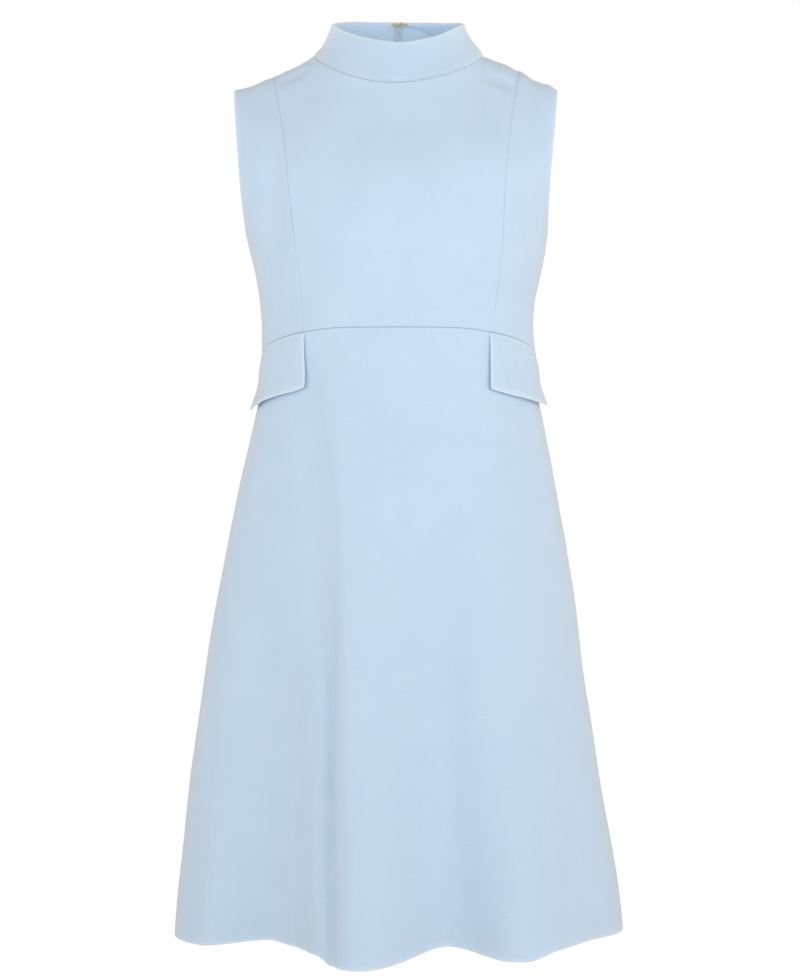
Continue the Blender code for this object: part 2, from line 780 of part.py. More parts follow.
def add_hook_and_eye():
    """The eye is a loop sewn to the right end of the collar, and the hook's bill goes through it."""
    x, y, z = EYE_CENTRE
    wide, high = EYE_HALF_SIZE
    start = math.asin(FOOT_HALF_WIDTH / high)
    turns = [mix(start, 2 * math.pi - start, i / 15) for i in range(16)]
    loop = [(x + wide * math.cos(t), y, z + high * math.sin(t)) for t in turns]
    foot = [(x + EYE_FOOT, y, z - FOOT_HALF_WIDTH), (x + EYE_FOOT, y, z + FOOT_HALF_WIDTH)]
    wire("collar_eye", loop + foot, True)
    side = x - wide  # the eye's wire that the bill goes round
    bill = 2 * WIRE_RADIUS + 0.35
    turns = [math.pi * (0.5 - i / 8) for i in range(9)]
    bend = [(side + bill * math.cos(t), y + bill * math.sin(t), z + 0.5) for t in turns]
    shank = [(x - HOOK_FOOT, y + bill - 0.2, z + 1.2), (side - 2.5, y + bill, z + 0.8)]
    wire("collar_hook", shank + bend + [(side - 2.2, y - bill + 0.15, z + 0.7)], False)


def main():
    for thing in list(bpy.data.objects):
        bpy.data.objects.remove(thing)
    add_bodice()
    add_skirt()
    add_collar()
    add_flaps()
    add_zip_tapes()
    place = slider_place()
    add_slider(place)
    add_pull(place)
    add_hook_and_eye()


main()
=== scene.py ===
"""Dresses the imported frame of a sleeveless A-line dress in its cloth, seams, zip and fastening.

Sizes are in millimetres and become metres as a mesh is made. +Z is up and the front faces -Y. An
angle goes round the body from the front centre, in degrees, positive towards +X, and is 90 at a
side seam and 180 at the centre back. A turn goes round the neck in the same way.
"""

from __future__ import annotations

import logging
import math
from dataclasses import dataclass, field
from enum import Enum
from typing import Any, Iterable, Sequence

import bmesh
import bpy
import numpy as np
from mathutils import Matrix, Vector


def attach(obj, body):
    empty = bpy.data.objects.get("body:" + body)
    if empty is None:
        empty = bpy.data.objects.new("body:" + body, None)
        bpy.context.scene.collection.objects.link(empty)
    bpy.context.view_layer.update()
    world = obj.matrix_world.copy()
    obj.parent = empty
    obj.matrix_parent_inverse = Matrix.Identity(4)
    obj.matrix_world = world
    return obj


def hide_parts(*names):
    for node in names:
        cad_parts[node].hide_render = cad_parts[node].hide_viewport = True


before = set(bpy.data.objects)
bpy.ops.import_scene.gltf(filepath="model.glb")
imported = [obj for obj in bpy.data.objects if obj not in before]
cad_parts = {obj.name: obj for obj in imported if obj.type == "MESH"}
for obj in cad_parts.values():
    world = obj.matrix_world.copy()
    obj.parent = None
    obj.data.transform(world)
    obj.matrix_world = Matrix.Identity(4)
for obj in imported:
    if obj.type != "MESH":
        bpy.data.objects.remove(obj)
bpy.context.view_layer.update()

LOG = logging.getLogger("dress")
MM = 0.001
MARKS = ("pressed_highlight", "seam_shade")  # shares of a painted highlight along ironed edges and of painted shade in the hollows of seams
Array = np.ndarray
Rows = Sequence[Sequence[float]]
Pair = tuple[float, float]
Point = tuple[float, float, float]
Span = tuple[float, float, int]  # the first number, the last, and how many
Tree = bpy.types.NodeTree
Socket = bpy.types.NodeSocket
Object = bpy.types.Object
Material = bpy.types.Material


# ---------------------------------------------------------------- numbers
class Table:
    """A smooth curve through rows of (place, value), which doesn't overshoot its rows."""

    def __init__(self, rows: Rows) -> None:
        """Works out the slope at each row.

        Args:
            rows: pairs of place and value, in any order.
        """
        pairs = np.array(sorted(tuple(row) for row in rows), float)
        self.places, self.values = pairs[:, 0], pairs[:, 1]
        steps = np.diff(self.places)
        rises = np.diff(self.values) / steps
        before, after = rises[:-1], rises[1:]
        near, far = 2 * steps[1:] + steps[:-1], steps[1:] + 2 * steps[:-1]
        with np.errstate(divide="ignore", invalid="ignore"):
            inner = np.where(before * after > 0, (near + far) / (near / before + far / after), 0.0)
        self.slopes = np.concatenate(([rises[0]], inner, [rises[-1]]))

    def __call__(self, place: Array | float) -> Array:
        """The curve's value.

        Args:
            place: one place or many. Past the table's ends the value stays as it is there.

        Returns:
            The value at each place.
        """
        place = np.clip(place, self.places[0], self.places[-1])
        i = np.clip(np.searchsorted(self.places, place, "right") - 1, 0, len(self.places) - 2)
        step = self.places[i + 1] - self.places[i]
        t = (place - self.places[i]) / step
        return (
            (1 + 2 * t) * (1 - t) ** 2 * self.values[i]
            + t * (1 - t) ** 2 * step * self.slopes[i]
            + t * t * (3 - 2 * t) * self.values[i + 1]
            + t * t * (t - 1) * step * self.slopes[i + 1]
        )


def mix(a: Any, b: Any, share: Any) -> Any:
    """What lies this share of the way from a to b."""
    return a + (b - a) * share


def unit(vectors: Array) -> Array:
    """The vectors, each made one long."""
    return vectors / np.maximum(np.linalg.norm(vectors, axis=-1, keepdims=True), 1e-12)


def powered(value: Array, power: Array) -> Array:
    """The value to this power, keeping its sign."""
    return np.sign(value) * np.abs(value) ** power


def step_up(value: Array, low: float, high: float) -> Array:
    """0 up to low and 1 past high, smooth in between."""
    t = np.clip((value - low) / (high - low), 0, 1)
    return t * t * (3 - 2 * t)


def joined(*parts: Array | Sequence[float]) -> Array:
    """The parts' numbers in one row."""
    return np.concatenate([np.atleast_1d(np.asarray(part, float)) for part in parts])


def on_grid(value: Array | float, points: Array) -> Array:
    """The value, spread over a grid of points where it is one number."""
    return np.broadcast_to(np.asarray(value, float), points.shape[:-1])


# ---------------------------------------------------------------- finishes
def linear(code: str) -> tuple[float, float, float, float]:
    """Turns an sRGB hex colour to the linear one that Blender's sockets take.

    Args:
        code: such as "#C5DAEE".

    Returns:
        Red, green, blue and an alpha of 1.
    """
    shares = [int(code[i : i + 2], 16) / 255 for i in (1, 3, 5)]
    red, green, blue = (s / 12.92 if s <= 0.04045 else ((s + 0.055) / 1.055) ** 2.4 for s in shares)
    return red, green, blue, 1.0


def fill(tree: Tree, node: bpy.types.Node, inputs: dict[str | int, Any]) -> None:
    """Sets and links a node's inputs.

    Args:
        tree: where the node is.
        node: the node.
        inputs: a value, or the socket to link from, for each named or numbered input.
    """
    for name, value in inputs.items():
        if isinstance(value, Socket):
            tree.links.new(value, node.inputs[name])
        else:
            node.inputs[name].default_value = value


def add_node(
    tree: Tree,
    kind: str,
    inputs: dict[str | int, Any] | None = None,
    out: str | int = "Fac",
    **settings: Any,
) -> Socket:
    """Adds a node with its settings and links.

    Args:
        tree: where the node goes.
        kind: Blender's name for its type, after "ShaderNode".
        inputs: a value, or the socket to link from, for each named or numbered input.
        out: the output that is wanted.
        settings: the node's own properties.

    Returns:
        That output.
    """
    node = tree.nodes.new("ShaderNode" + kind)
    for name, value in settings.items():
        setattr(node, name, value)
    fill(tree, node, inputs or {})
    return node.outputs[out]


def per_metre(size_mm: float) -> float:
    """A texture's scale in object coordinates, for features of this size in millimetres."""
    return 1 / (size_mm * MM)


class Finish:
    """What a surface is made of and how it was made."""

    name: str

    def inputs(self, tree: Tree, place: Socket) -> dict[str, Any]:
        """Makes the nodes, and says what each of the shader's inputs gets."""
        raise NotImplementedError

    def material(self) -> Material:
        """Builds the material.

        Returns:
            The finished material.
        """
        material = bpy.data.materials.new(self.name)
        material.use_nodes = True
        tree = material.node_tree
        place = add_node(tree, "TexCoord", out="Object")
        fill(tree, tree.nodes["Principled BSDF"], self.inputs(tree, place))
        return material


@dataclass(frozen=True)
class DoubleCrepe(Finish):
    """Polyester double crepe, woven from hard-twisted yarns and piece-dyed.

    To the eye it is dense and quite matt, with a fine pebbled face, hardly any shine and a soft
    bloom where it turns away. A paler line is painted along each ironed, folded edge: partly press
    shine, partly a painted highlight where the rounded edge catches light. Painted shade darkens
    the hollows of its seams.
    """

    name: str = "double_crepe_woven_powder_blue"
    shade: str = "#C9DDF0"
    deep: str = "#C1D7EB"
    # painted highlight along ironed, folded edges, partly press shine
    pressed_highlight: str = "#D5E6F6"
    seam_shade: str = "#9DB5D0"  # painted shade in the hollow of a seam, where the stitches draw the cloth in and less light falls
    pebble_mm: float = 1.1  # the real pebbles are about 0.5 mm, too fine to show
    yarn_mm: float = 0.9  # two or three weft yarns, for the same reason
    yarn_stretch: float = 0.14  # a yarn's unevenness is about seven times as long as it is high
    cloud_mm: float = 38.0  # slow unevenness of the dye
    relief_mm: float = 0.07
    roughness: Pair = (0.80, 0.92)
    sheen: float = 0.42
    bloom: str = "#FFDDAE"
    glow: float = 0.0  # how much light goes through the cloth
    glow_mm: float = 1.0

    def inputs(self, tree: Tree, place: Socket) -> dict[str, Any]:
        """Pebbles over weft yarns, uneven dye, painted highlights on ironed edges, painted seam
        shade.

        Args:
            tree: where the nodes go.
            place: the piece's own coordinates.

        Returns:
            What each of the shader's inputs gets.
        """
        scale = per_metre(self.pebble_mm)
        noise = {"Vector": place, "Scale": scale, "Detail": 2.0, "Roughness": 0.6}
        pebble = add_node(tree, "TexNoise", noise)
        squash = (self.yarn_stretch, self.yarn_stretch, 1.0)
        yarns = add_node(tree, "Mapping", {"Vector": place, "Scale": squash}, "Vector")
        noise = {"Vector": yarns, "Scale": per_metre(self.yarn_mm), "Detail": 1.0}
        weft = add_node(tree, "TexNoise", noise)
        grain = add_node(tree, "Math", {0: pebble, 1: weft}, "Value", operation="ADD")
        noise = {"Vector": place, "Scale": per_metre(self.cloud_mm), "Detail": 3.0}
        cloud = add_node(tree, "TexNoise", noise)
        both = add_node(tree, "Math", {0: grain, 1: cloud}, "Value", operation="ADD")
        spread = {"Value": both, "From Min": 1.0, "From Max": 2.0}
        dyed = add_node(tree, "MapRange", spread, "Result")
        # flat carries the painted highlight along ironed edges, sunk the painted shade in seam
        # hollows
        flat, sunk = (add_node(tree, "Attribute", attribute_name=mark) for mark in MARKS)
        colour: Any = linear(self.deep)
        for share, shade in ((dyed, self.shade), (flat, self.pressed_highlight), (sunk, self.seam_shade)):
            colours = {0: share, 6: colour, 7: linear(shade)}
            colour = add_node(tree, "Mix", colours, 2, data_type="RGBA")
        low, high = self.roughness
        spread = {"Value": grain, "From Min": 0.7, "From Max": 1.3, "To Min": low, "To Max": high}
        rough = add_node(tree, "MapRange", spread, "Result")
        relief = {"Height": grain, "Distance": self.relief_mm * MM, "Strength": 0.6}
        return {
            "Base Color": colour,
            "Roughness": rough,
            "Normal": add_node(tree, "Bump", relief, "Normal"),
            "IOR": 1.55,
            "Sheen Weight": self.sheen,
            "Sheen Tint": linear(self.bloom),
            "Sheen Roughness": 0.5,
            "Specular IOR Level": 0.35,
            "Subsurface Weight": self.glow,
            "Subsurface Radius": (1.0, 1.0, 1.0),
            "Subsurface Scale": self.glow_mm * MM,
        }


@dataclass(frozen=True)
class WovenTape(Finish):
    """Polyester zip tape, woven in a herringbone and dyed to match.

    To the eye it is a little greyer and rougher than the crepe, with fine ribs along its length.
    """

    name: str = "zip_tape_woven_polyester"
    shade: str = "#D2E4FA"
    groove: str = "#C3D7F0"
    rib_mm: float = 1.0  # the real ribs are about 0.6 mm apart
    waves_in_unit: float = 20.0  # a wave texture draws 20 radians, so about 3 ribs, in each unit
    glow: float = 0.5
    glow_mm: float = 2.0
    relief_mm: float = 0.12

    def inputs(self, tree: Tree, place: Socket) -> dict[str, Any]:
        """Slanting ribs.

        Args:
            tree: where the nodes go.
            place: the piece's own coordinates.

        Returns:
            What each of the shader's inputs gets.
        """
        scale = per_metre(self.rib_mm) / self.waves_in_unit
        wave = {"Vector": place, "Scale": scale, "Distortion": 1.5, "Detail": 2.0}
        ways = {"wave_type": "BANDS", "bands_direction": "DIAGONAL"}
        ribs = add_node(tree, "TexWave", wave, **ways)
        colours = {0: ribs, 6: linear(self.groove), 7: linear(self.shade)}
        colour = add_node(tree, "Mix", colours, 2, data_type="RGBA")
        relief = {"Height": ribs, "Distance": self.relief_mm * MM}
        return {
            "Base Color": colour,
            "Normal": add_node(tree, "Bump", relief, "Normal"),
            "IOR": 1.55,
            "Sheen Weight": 0.1,
            "Roughness": 0.88,
            "Subsurface Weight": self.glow,
            "Subsurface Radius": (1.0, 1.0, 1.0),
            "Subsurface Scale": self.glow_mm * MM,
        }


@dataclass(frozen=True)
class SpunThread(Finish):
    """Polyester sewing thread and zip coil, spun or drawn, and dyed to match.

    To the eye it has a low, silky shine and a fine twist.
    """

    name: str
    shade: str
    shadow: str
    twist_mm: float
    roughness: float
    relief_mm: float = 0.05

    def inputs(self, tree: Tree, place: Socket) -> dict[str, Any]:
        """The twist.

        Args:
            tree: where the nodes go.
            place: the piece's own coordinates.

        Returns:
            What each of the shader's inputs gets.
        """
        noise = {"Vector": place, "Scale": per_metre(self.twist_mm), "Detail": 1.0}
        twist = add_node(tree, "TexNoise", noise)
        colours = {0: twist, 6: linear(self.shadow), 7: linear(self.shade)}
        colour = add_node(tree, "Mix", colours, 2, data_type="RGBA")
        relief = {"Height": twist, "Distance": self.relief_mm * MM, "Strength": 0.5}
        bump = add_node(tree, "Bump", relief, "Normal")
        return {"Base Color": colour, "Roughness": self.roughness, "Normal": bump, "IOR": 1.55}


@dataclass(frozen=True)
class GoldPlatedBrass(Finish):
    """Brass wire and die-cast brass, tumbled smooth and plated with pale gold.

    To the eye it is a bright, warm metal with soft-edged reflections and faint handling marks.
    """

    name: str = "brass_gold_plated_tumbled"
    shade: str = "#FBF0C2"
    dull: str = "#EEDCA0"
    mark_mm: float = 0.8
    roughness: Pair = (0.2, 0.34)
    relief_mm: float = 0.01

    def inputs(self, tree: Tree, place: Socket) -> dict[str, Any]:
        """Handling marks in the plate.

        Args:
            tree: where the nodes go.
            place: the piece's own coordinates.

        Returns:
            What each of the shader's inputs gets.
        """
        scale = per_metre(self.mark_mm)
        noise = {"Vector": place, "Scale": scale, "Detail": 4.0, "Roughness": 0.65}
        marks = add_node(tree, "TexNoise", noise)
        colours = {0: marks, 6: linear(self.dull), 7: linear(self.shade)}
        colour = add_node(tree, "Mix", colours, 2, data_type="RGBA")
        low, high = self.roughness
        spread = {"Value": marks, "To Min": low, "To Max": high}
        rough = add_node(tree, "MapRange", spread, "Result")
        relief = {"Height": marks, "Distance": self.relief_mm * MM, "Strength": 0.4}
        bump = add_node(tree, "Bump", relief, "Normal")
        return {"Base Color": colour, "Roughness": rough, "Normal": bump, "Metallic": 1.0}


@dataclass(frozen=True)
class StudioPaper(Finish):
    """Seamless studio paper, rolled pulp with a matt face.

    To the eye it is an even, very pale white with the faintest fibre.
    """

    name: str = "studio_paper_rolled_white"
    shade: str = "#DFDFDE"
    fibre: str = "#DBDBDA"
    fibre_mm: float = 4.0  # clumps of fibres, which are finer than shows

    def inputs(self, tree: Tree, place: Socket) -> dict[str, Any]:
        """Faint fibres.

        Args:
            tree: where the nodes go.
            place: the floor's own coordinates.

        Returns:
            What each of the shader's inputs gets.
        """
        noise = {"Vector": place, "Scale": per_metre(self.fibre_mm), "Detail": 3.0}
        fibres = add_node(tree, "TexNoise", noise)
        colours = {0: fibres, 6: linear(self.fibre), 7: linear(self.shade)}
        colour = add_node(tree, "Mix", colours, 2, data_type="RGBA")
        return {"Base Color": colour, "Roughness": 0.95}


# the collar's fourth colour is the painted highlight along its ironed edges, hardly paler than its
# shade
COLLAR_CREPE = DoubleCrepe(
    "double_crepe_woven_collar", "#C9DCF3", "#C1D6EE", "#CBDDF3", glow=1.0, glow_mm=6.0
)
SEWING_THREAD = SpunThread("sewing_thread_spun_polyester", "#C4D8EB", "#AFC6DC", 0.3, 0.55)
ZIP_COIL = SpunThread("zip_coil_drawn_polyester", "#B7CCE1", "#9DB5CE", 0.6, 0.38)


# ---------------------------------------------------------------- the worn surface
class Side(Enum):
    """Which half of the body a crease is on."""

    FRONT = 1
    BACK = -1


class Run(Enum):
    """Which way a crease mostly goes."""

    DOWN = "down"
    ACROSS = "across"


class Profile(Enum):
    """How a crease's crest looks in section."""

    SOFT = "soft"
    PINCHED = "pinched"


@dataclass(frozen=True)
class Crease:
    """A crease, swelling or hollow in the cloth.

    line has rows of (along, aside, out): along is the height if it runs down, or the distance
    across if it runs across; aside is the other of the two; and out is how far it stands out
    there. before and after are the widths of its slopes towards lower and higher aside.
    """

    line: tuple[Point, ...]
    before: float
    after: float
    run: Run = Run.DOWN
    profile: Profile = Profile.SOFT
    side: Side = Side.FRONT

    def out(self, x: Array, z: Array) -> Array:
        """How far the cloth stands out because of this crease.

        Args:
            x: distances across.
            z: heights.

        Returns:
            Millimetres, 0 away from the crease.
        """
        along, aside = (z, x) if self.run is Run.DOWN else (x, z)
        middle = Table([(row[0], row[1]) for row in self.line])
        height = Table([(row[0], row[2]) for row in self.line])
        offset = aside - middle(along)
        t = np.clip(np.abs(offset) / np.where(offset < 0, self.before, self.after), 0, 1)
        section = (1 - t * t) ** 2 if self.profile is Profile.SOFT else (1 - t) ** 2
        within = (along >= middle.places[0]) & (along <= middle.places[-1])
        return np.where(within, height(along) * section, 0.0)


@dataclass
class WornForm:
    """The dress's outer face as it hangs when worn, with its folds and creases."""

    sections: Rows = (  # height, half width, front and back depth, squareness, lean towards +X
        (-950, 233.5, 161, 160, 2.10, 2.5),
        (-880, 228.6, 157, 156, 2.11, 1.4),
        (-815, 220.2, 153, 150, 2.12, -0.6),
        (-738, 210, 148, 143, 2.12, -2.9),
        (-655, 198.2, 142, 135, 2.13, -3.4),
        (-570, 186.5, 134, 124, 2.15, -2.1),
        (-500, 174.6, 126.6, 111, 2.18, -0.9),
        (-444, 163.4, 121, 103, 2.20, 0.2),
        (-402, 154.8, 116, 94, 2.25, 1.2),
        (-370, 148.4, 113, 88, 2.28, 1.2),
        (-340, 142.8, 109.5, 82, 2.30, 1.2),
        (-312, 142.6, 108, 78.5, 2.32, 0.8),
        (-285, 142.0, 109, 77, 2.34, -0.2),
        (-260, 143.6, 112, 80, 2.36, 0),
        (-235, 148.0, 116, 85, 2.38, 0.6),
        (-205, 154.3, 119, 90, 2.38, 0.2),
        (-186, 158.0, 118, 92, 2.36, -0.9),
        (-160, 165.0, 114, 93, 2.34, -1.9),
        (-130, 175, 106, 92, 2.32, -2.3),
        (-100, 187, 93, 88, 2.30, -2.3),
        (-70, 198, 79, 81, 2.30, -2.3),
        (-37, 204, 68, 72, 2.30, -1.8),
        (10, 206, 64, 61, 2.30, 0.8),
        (60, 206, 62, 58, 2.30, 0.8),
    )
    shoulder: Rows = (  # across, and the shoulder seam's height
        (-210, -44), (-170, -35.1), (-161, -33.4), (-153, -31.5), (-145, -28.2), (-137, -24.4),
        (-127, -20.8), (-115, -14.8), (-106, -10.8), (-98, -6.1), (-89, 0), (-80, 9), (-66, 24),
        (-40, 42), (0, 52), (40, 42), (66, 24), (80, 9), (89, 0), (95, -1.6), (101, -4.4),
        (108, -6.6), (114, -8.6), (119, -11.2), (124.5, -14.4), (129, -15.4), (133, -17.2),
        (139, -21.6), (145, -25.0), (154, -28), (162, -30.3), (166, -33.2), (170, -35.2),
        (210, -44),
    )
    princess: Rows = (  # height, and how far out the princess seam is
        (-320, 95), (-296, 96), (-268, 98), (-206, 105), (-131, 111.4), (-86, 116.3), (-48, 123),
        (-20, 127.5),
    )
    armhole: Rows = (  # height, and how far out the armhole's edge is
        (-186, 158.0), (-171, 158.3), (-150, 159.3), (-129, 160.6), (-97, 163.5), (-66, 166.6),
        (-34, 169), (-10, 169),
    )
    waist: Rows = (  # angle, and the empire seam's height
        (0, -290), (20, -290.3), (40, -294.2), (60, -301), (75, -307.5), (90, -313.5),
        (130, -313), (180, -312),
    )
    folds: Rows = (  # angle, and how far a fold stands out at the hem
        (-180, 4), (-152, 19), (-124, -15), (-92, 2), (-57, 8), (-36, -27), (-28, -21), (-16, 17),
        (-8, 27), (12, -23), (30, 20), (58, -4), (91, 3), (122, -13), (149, 17), (180, 4),
    )
    hem: Rows = (  # angle, and the hem's height
        (-180, -917), (-152, -921), (-124, -911), (-92, -917), (-57, -914.5), (-36, -907.5),
        (-31, -910), (-26, -911.6), (-22.5, -912.5), (-18.8, -913.7), (-15.5, -921.5), (-8, -923),
        (12, -909), (21, -916), (25.5, -919.3), (30, -919.3), (33.5, -916.5), (38, -912.5),
        (46, -911.3), (58, -911.3), (91, -914), (122, -910), (149, -921), (180, -917),
    )
    creases: tuple[Crease, ...] = ()
    drift: Rows = (  # how far the cloth drifts out, its turns across and down, and its start
        (0.35, 0.055, 0.021, 0.4), (0.3, -0.034, 0.043, 1.9), (0.22, 0.081, -0.037, 4.2),
    )
    back_drift: float = 2.1  # how far the back's drift is out of step with the front's
    calm: float = 14.0  # height under the shoulder seam over which creases fade in
    roll_front: float = 120.0  # height over which the front rolls over into the shoulder seam
    roll_back: float = 70.0
    hem_level: float = -923.0
    fold_top: float = -330.0
    fold_growth: float = 1.8  # the power by which a fold grows on its way down
    underarm: float = -186.0
    # height, and how far both princess seams hang towards the viewer's right
    seam_shift: Rows = ((-90, 1.5), (-30, 0))
    neck_half_width: float = 89.0
    neck_front_drop: float = 37.0
    neck_back_rise: float = 6.0
    neck_front_bend: float = 1.5  # more than 1 makes the neck seam's front rounder
    angle_step: float = 0.4  # for the normals, in degrees
    height_step: float = 0.5
    steps_under_ridge: float = 3.0  # so many steps in height fit between a place and the seam
    on_ridge: float = 0.05  # nearer the shoulder seam than this, a normal is the seam's own

    def __post_init__(self) -> None:
        """Makes the curves through the tables."""
        columns = list(zip(*self.sections))
        self.half_width, self.front, self.back, self.squareness, self.lean = (
            Table(list(zip(columns[0], column))) for column in columns[1:]
        )
        self.ridge = Table(self.shoulder)
        self.princess_x = Table(self.princess)
        self.princess_shift = Table(self.seam_shift)
        self.armhole_x = Table(self.armhole)
        self.waist_z = Table(self.waist)
        self.fold_out = Table(self.folds)
        self.hem_z = Table(self.hem)

    def under_ridge(self, x: Array, z: Array) -> Array:
        """How far under the shoulder seam each place is."""
        return self.ridge(x) - z

    def fold(self, angle: Array, z: Array) -> Array:
        """How far the hanging folds stand out. In front view each runs straight down.

        Args:
            angle: angles round the body.
            z: heights.

        Returns:
            Millimetres from the plain section.
        """
        drop = np.clip((self.fold_top - z) / (self.fold_top - self.hem_level), 0, 1)
        narrower = self.half_width(z) / self.half_width(self.hem_level) - 1
        at = angle + np.degrees(0.5 * narrower * np.sin(2 * np.radians(angle)))
        return self.fold_out(at) * drop**self.fold_growth

    def relief(self, angle: Array, z: Array, x: Array) -> Array:
        """How far creases and the cloth's slow drift stand out.

        Args:
            angle: angles round the body.
            z: heights.
            x: distances across, before the lean.

        Returns:
            Millimetres, 0 on the shoulder seams.
        """
        ahead = np.cos(np.radians(angle)) > 0
        out = sum(
            height * np.sin(across * x + down * z + start + np.where(ahead, 0, self.back_drift))
            for height, across, down, start in self.drift
        )
        for crease in self.creases:
            out = out + np.where(ahead == (crease.side is Side.FRONT), crease.out(x, z), 0.0)
        return out * step_up(self.under_ridge(x, z), 0.0, self.calm)

    def plain(self, angle: Array, z: Array) -> Array:
        """The outer face with its hanging folds, without creases.

        Args:
            angle: angles round the body.
            z: heights.

        Returns:
            Points, in the last axis of the array.
        """
        turn = np.radians(angle)
        power = 2 / self.squareness(z)
        side, ahead = np.sin(turn), np.cos(turn)
        depth = np.where(ahead > 0, self.front(z), self.back(z))
        height = np.where(ahead > 0, self.roll_front, self.roll_back)
        wide = self.half_width(z)
        x = wide * powered(side, power)
        under = np.clip(self.under_ridge(x, z) / height, 0, 1)
        y = -depth * np.sqrt(1 - (1 - under) ** 2) * powered(ahead, power)
        way = unit(np.stack([x / wide**2, y / depth**2, np.zeros_like(x)], -1))
        point = np.stack([x, y, z + np.zeros_like(x)], -1) + way * self.fold(angle, z)[..., None]
        point[..., 0] += self.lean(z)
        return point

    def _facing(self, face: Any, angle: Array, z: Array) -> Array:
        """Outward normals of a face, by small differences.

        Args:
            face: a function from angle and height to points.
            angle: angles round the body.
            z: heights.

        Returns:
            Unit vectors.
        """
        x = self.half_width(z) * powered(np.sin(np.radians(angle)), 2 / self.squareness(z))
        under = self.under_ridge(x, z)
        rise = np.clip(under / self.steps_under_ridge, 0.01, self.height_step)
        around = face(angle + self.angle_step, z) - face(angle - self.angle_step, z)
        up = face(angle, z + rise) - face(angle, z - rise)
        normal = unit(np.cross(around, up))
        slope = 0.5 * (self.ridge(x + 1) - self.ridge(x - 1))
        upwards = unit(np.stack([-slope, 0 * x, 1 + 0 * x], -1))
        return np.where((under < self.on_ridge)[..., None], upwards, normal)

    def face(self, angle: Array, z: Array) -> Array:
        """The outer face with its folds and creases.

        Args:
            angle: angles round the body.
            z: heights.

        Returns:
            Points, in the last axis of the array.
        """
        angle, z = np.broadcast_arrays(np.asarray(angle, float), np.asarray(z, float))
        point = self.plain(angle, z)
        out = self.relief(angle, z, point[..., 0] - self.lean(z))
        return point + self._facing(self.plain, angle, z) * out[..., None]

    def facing(self, angle: Array, z: Array) -> Array:
        """The outer face's outward normals at these angles and heights."""
        angle, z = np.broadcast_arrays(np.asarray(angle, float), np.asarray(z, float))
        return self._facing(self.face, angle, z)

    def angle_of(self, x: Array | float, z: Array | float) -> Array:
        """The angle of the front half at which the plain section is this wide."""
        share = np.minimum(np.abs(x) / self.half_width(z), 1.0)
        return np.copysign(np.degrees(np.arcsin(share ** (self.squareness(z) / 2))), x)

    def princess_angle(self, z: Array | float, hand: int = 1) -> Array:
        """A princess seam's angle, from the middle outwards; hand is 1 on the viewer's right."""
        return self.angle_of(self.princess_x(z) + hand * self.princess_shift(z), z)

    def edge_angle(self, z: Array | float) -> Array:
        """The side seam's angle, and above the underarm the armhole's front edge."""
        return np.where(z <= self.underarm, 90.0, self.angle_of(self.armhole_x(z), z))

    def neck_point(self, turn: Array | float, behind: bool = False) -> tuple[Array, Array]:
        """Angle and height of the neck seam.

        Args:
            turn: turns round the neck from its front.
            behind: takes the back's angle where a turn is at the end of a shoulder seam.

        Returns:
            The angles and the heights.
        """
        turn = np.asarray(turn, float)
        ahead = np.cos(np.radians(turn))
        rear = (ahead < 0) | behind
        drop = self.neck_front_drop * np.abs(ahead) ** self.neck_front_bend
        z = np.where(rear, self.neck_back_rise * ahead**2, -drop)
        angle = self.angle_of(self.neck_half_width * np.sin(np.radians(turn)), z)
        return np.where(rear, np.copysign(180.0, turn) - angle, angle), z


# ---------------------------------------------------------------- making meshes
class Edge(Enum):
    """How one edge of a piece of cloth is finished."""

    SEAM = "sewn to its neighbour, and rolled in a little"
    FOLDED = "turned under, with a full round fold"


LINES = {  # the edge's own points, and their neighbours inside
    "bottom": (np.s_[0], np.s_[1]),
    "top": (np.s_[-1], np.s_[-2]),
    "left": (np.s_[:, 0], np.s_[:, 1]),
    "right": (np.s_[:, -1], np.s_[:, -2]),
}
ROUNDING = np.radians([30, 60, 90])  # steps of a rounded edge
FLATTEST = 0.47  # the most of the cloth's thickness that one edge's rounding may take
HIGHLIGHT_REACH = 2.5  # how far from an edge the painted highlight of an ironed edge reaches


def moved_in(points: Array, moves: dict[str, Array | float]) -> Array:
    """A grid of points with its edges moved.

    Args:
        points: rows by columns of points.
        moves: for each edge, how far it moves into the piece, one number or one for each point.

    Returns:
        The new grid.
    """
    points = points.copy()
    for side, distance in moves.items():
        edge, inner = LINES[side]
        way = unit(points[inner] - points[edge])
        points[edge] += way * on_grid(distance, way)[..., None]
    return points


def round_grid(grid: Array) -> Array:
    """The grid's rim in one row, anticlockwise from its lower left corner, seen from outside."""
    return np.concatenate([grid[0], grid[1:, -1], grid[-1, -2::-1], grid[-2:0:-1, 0]])


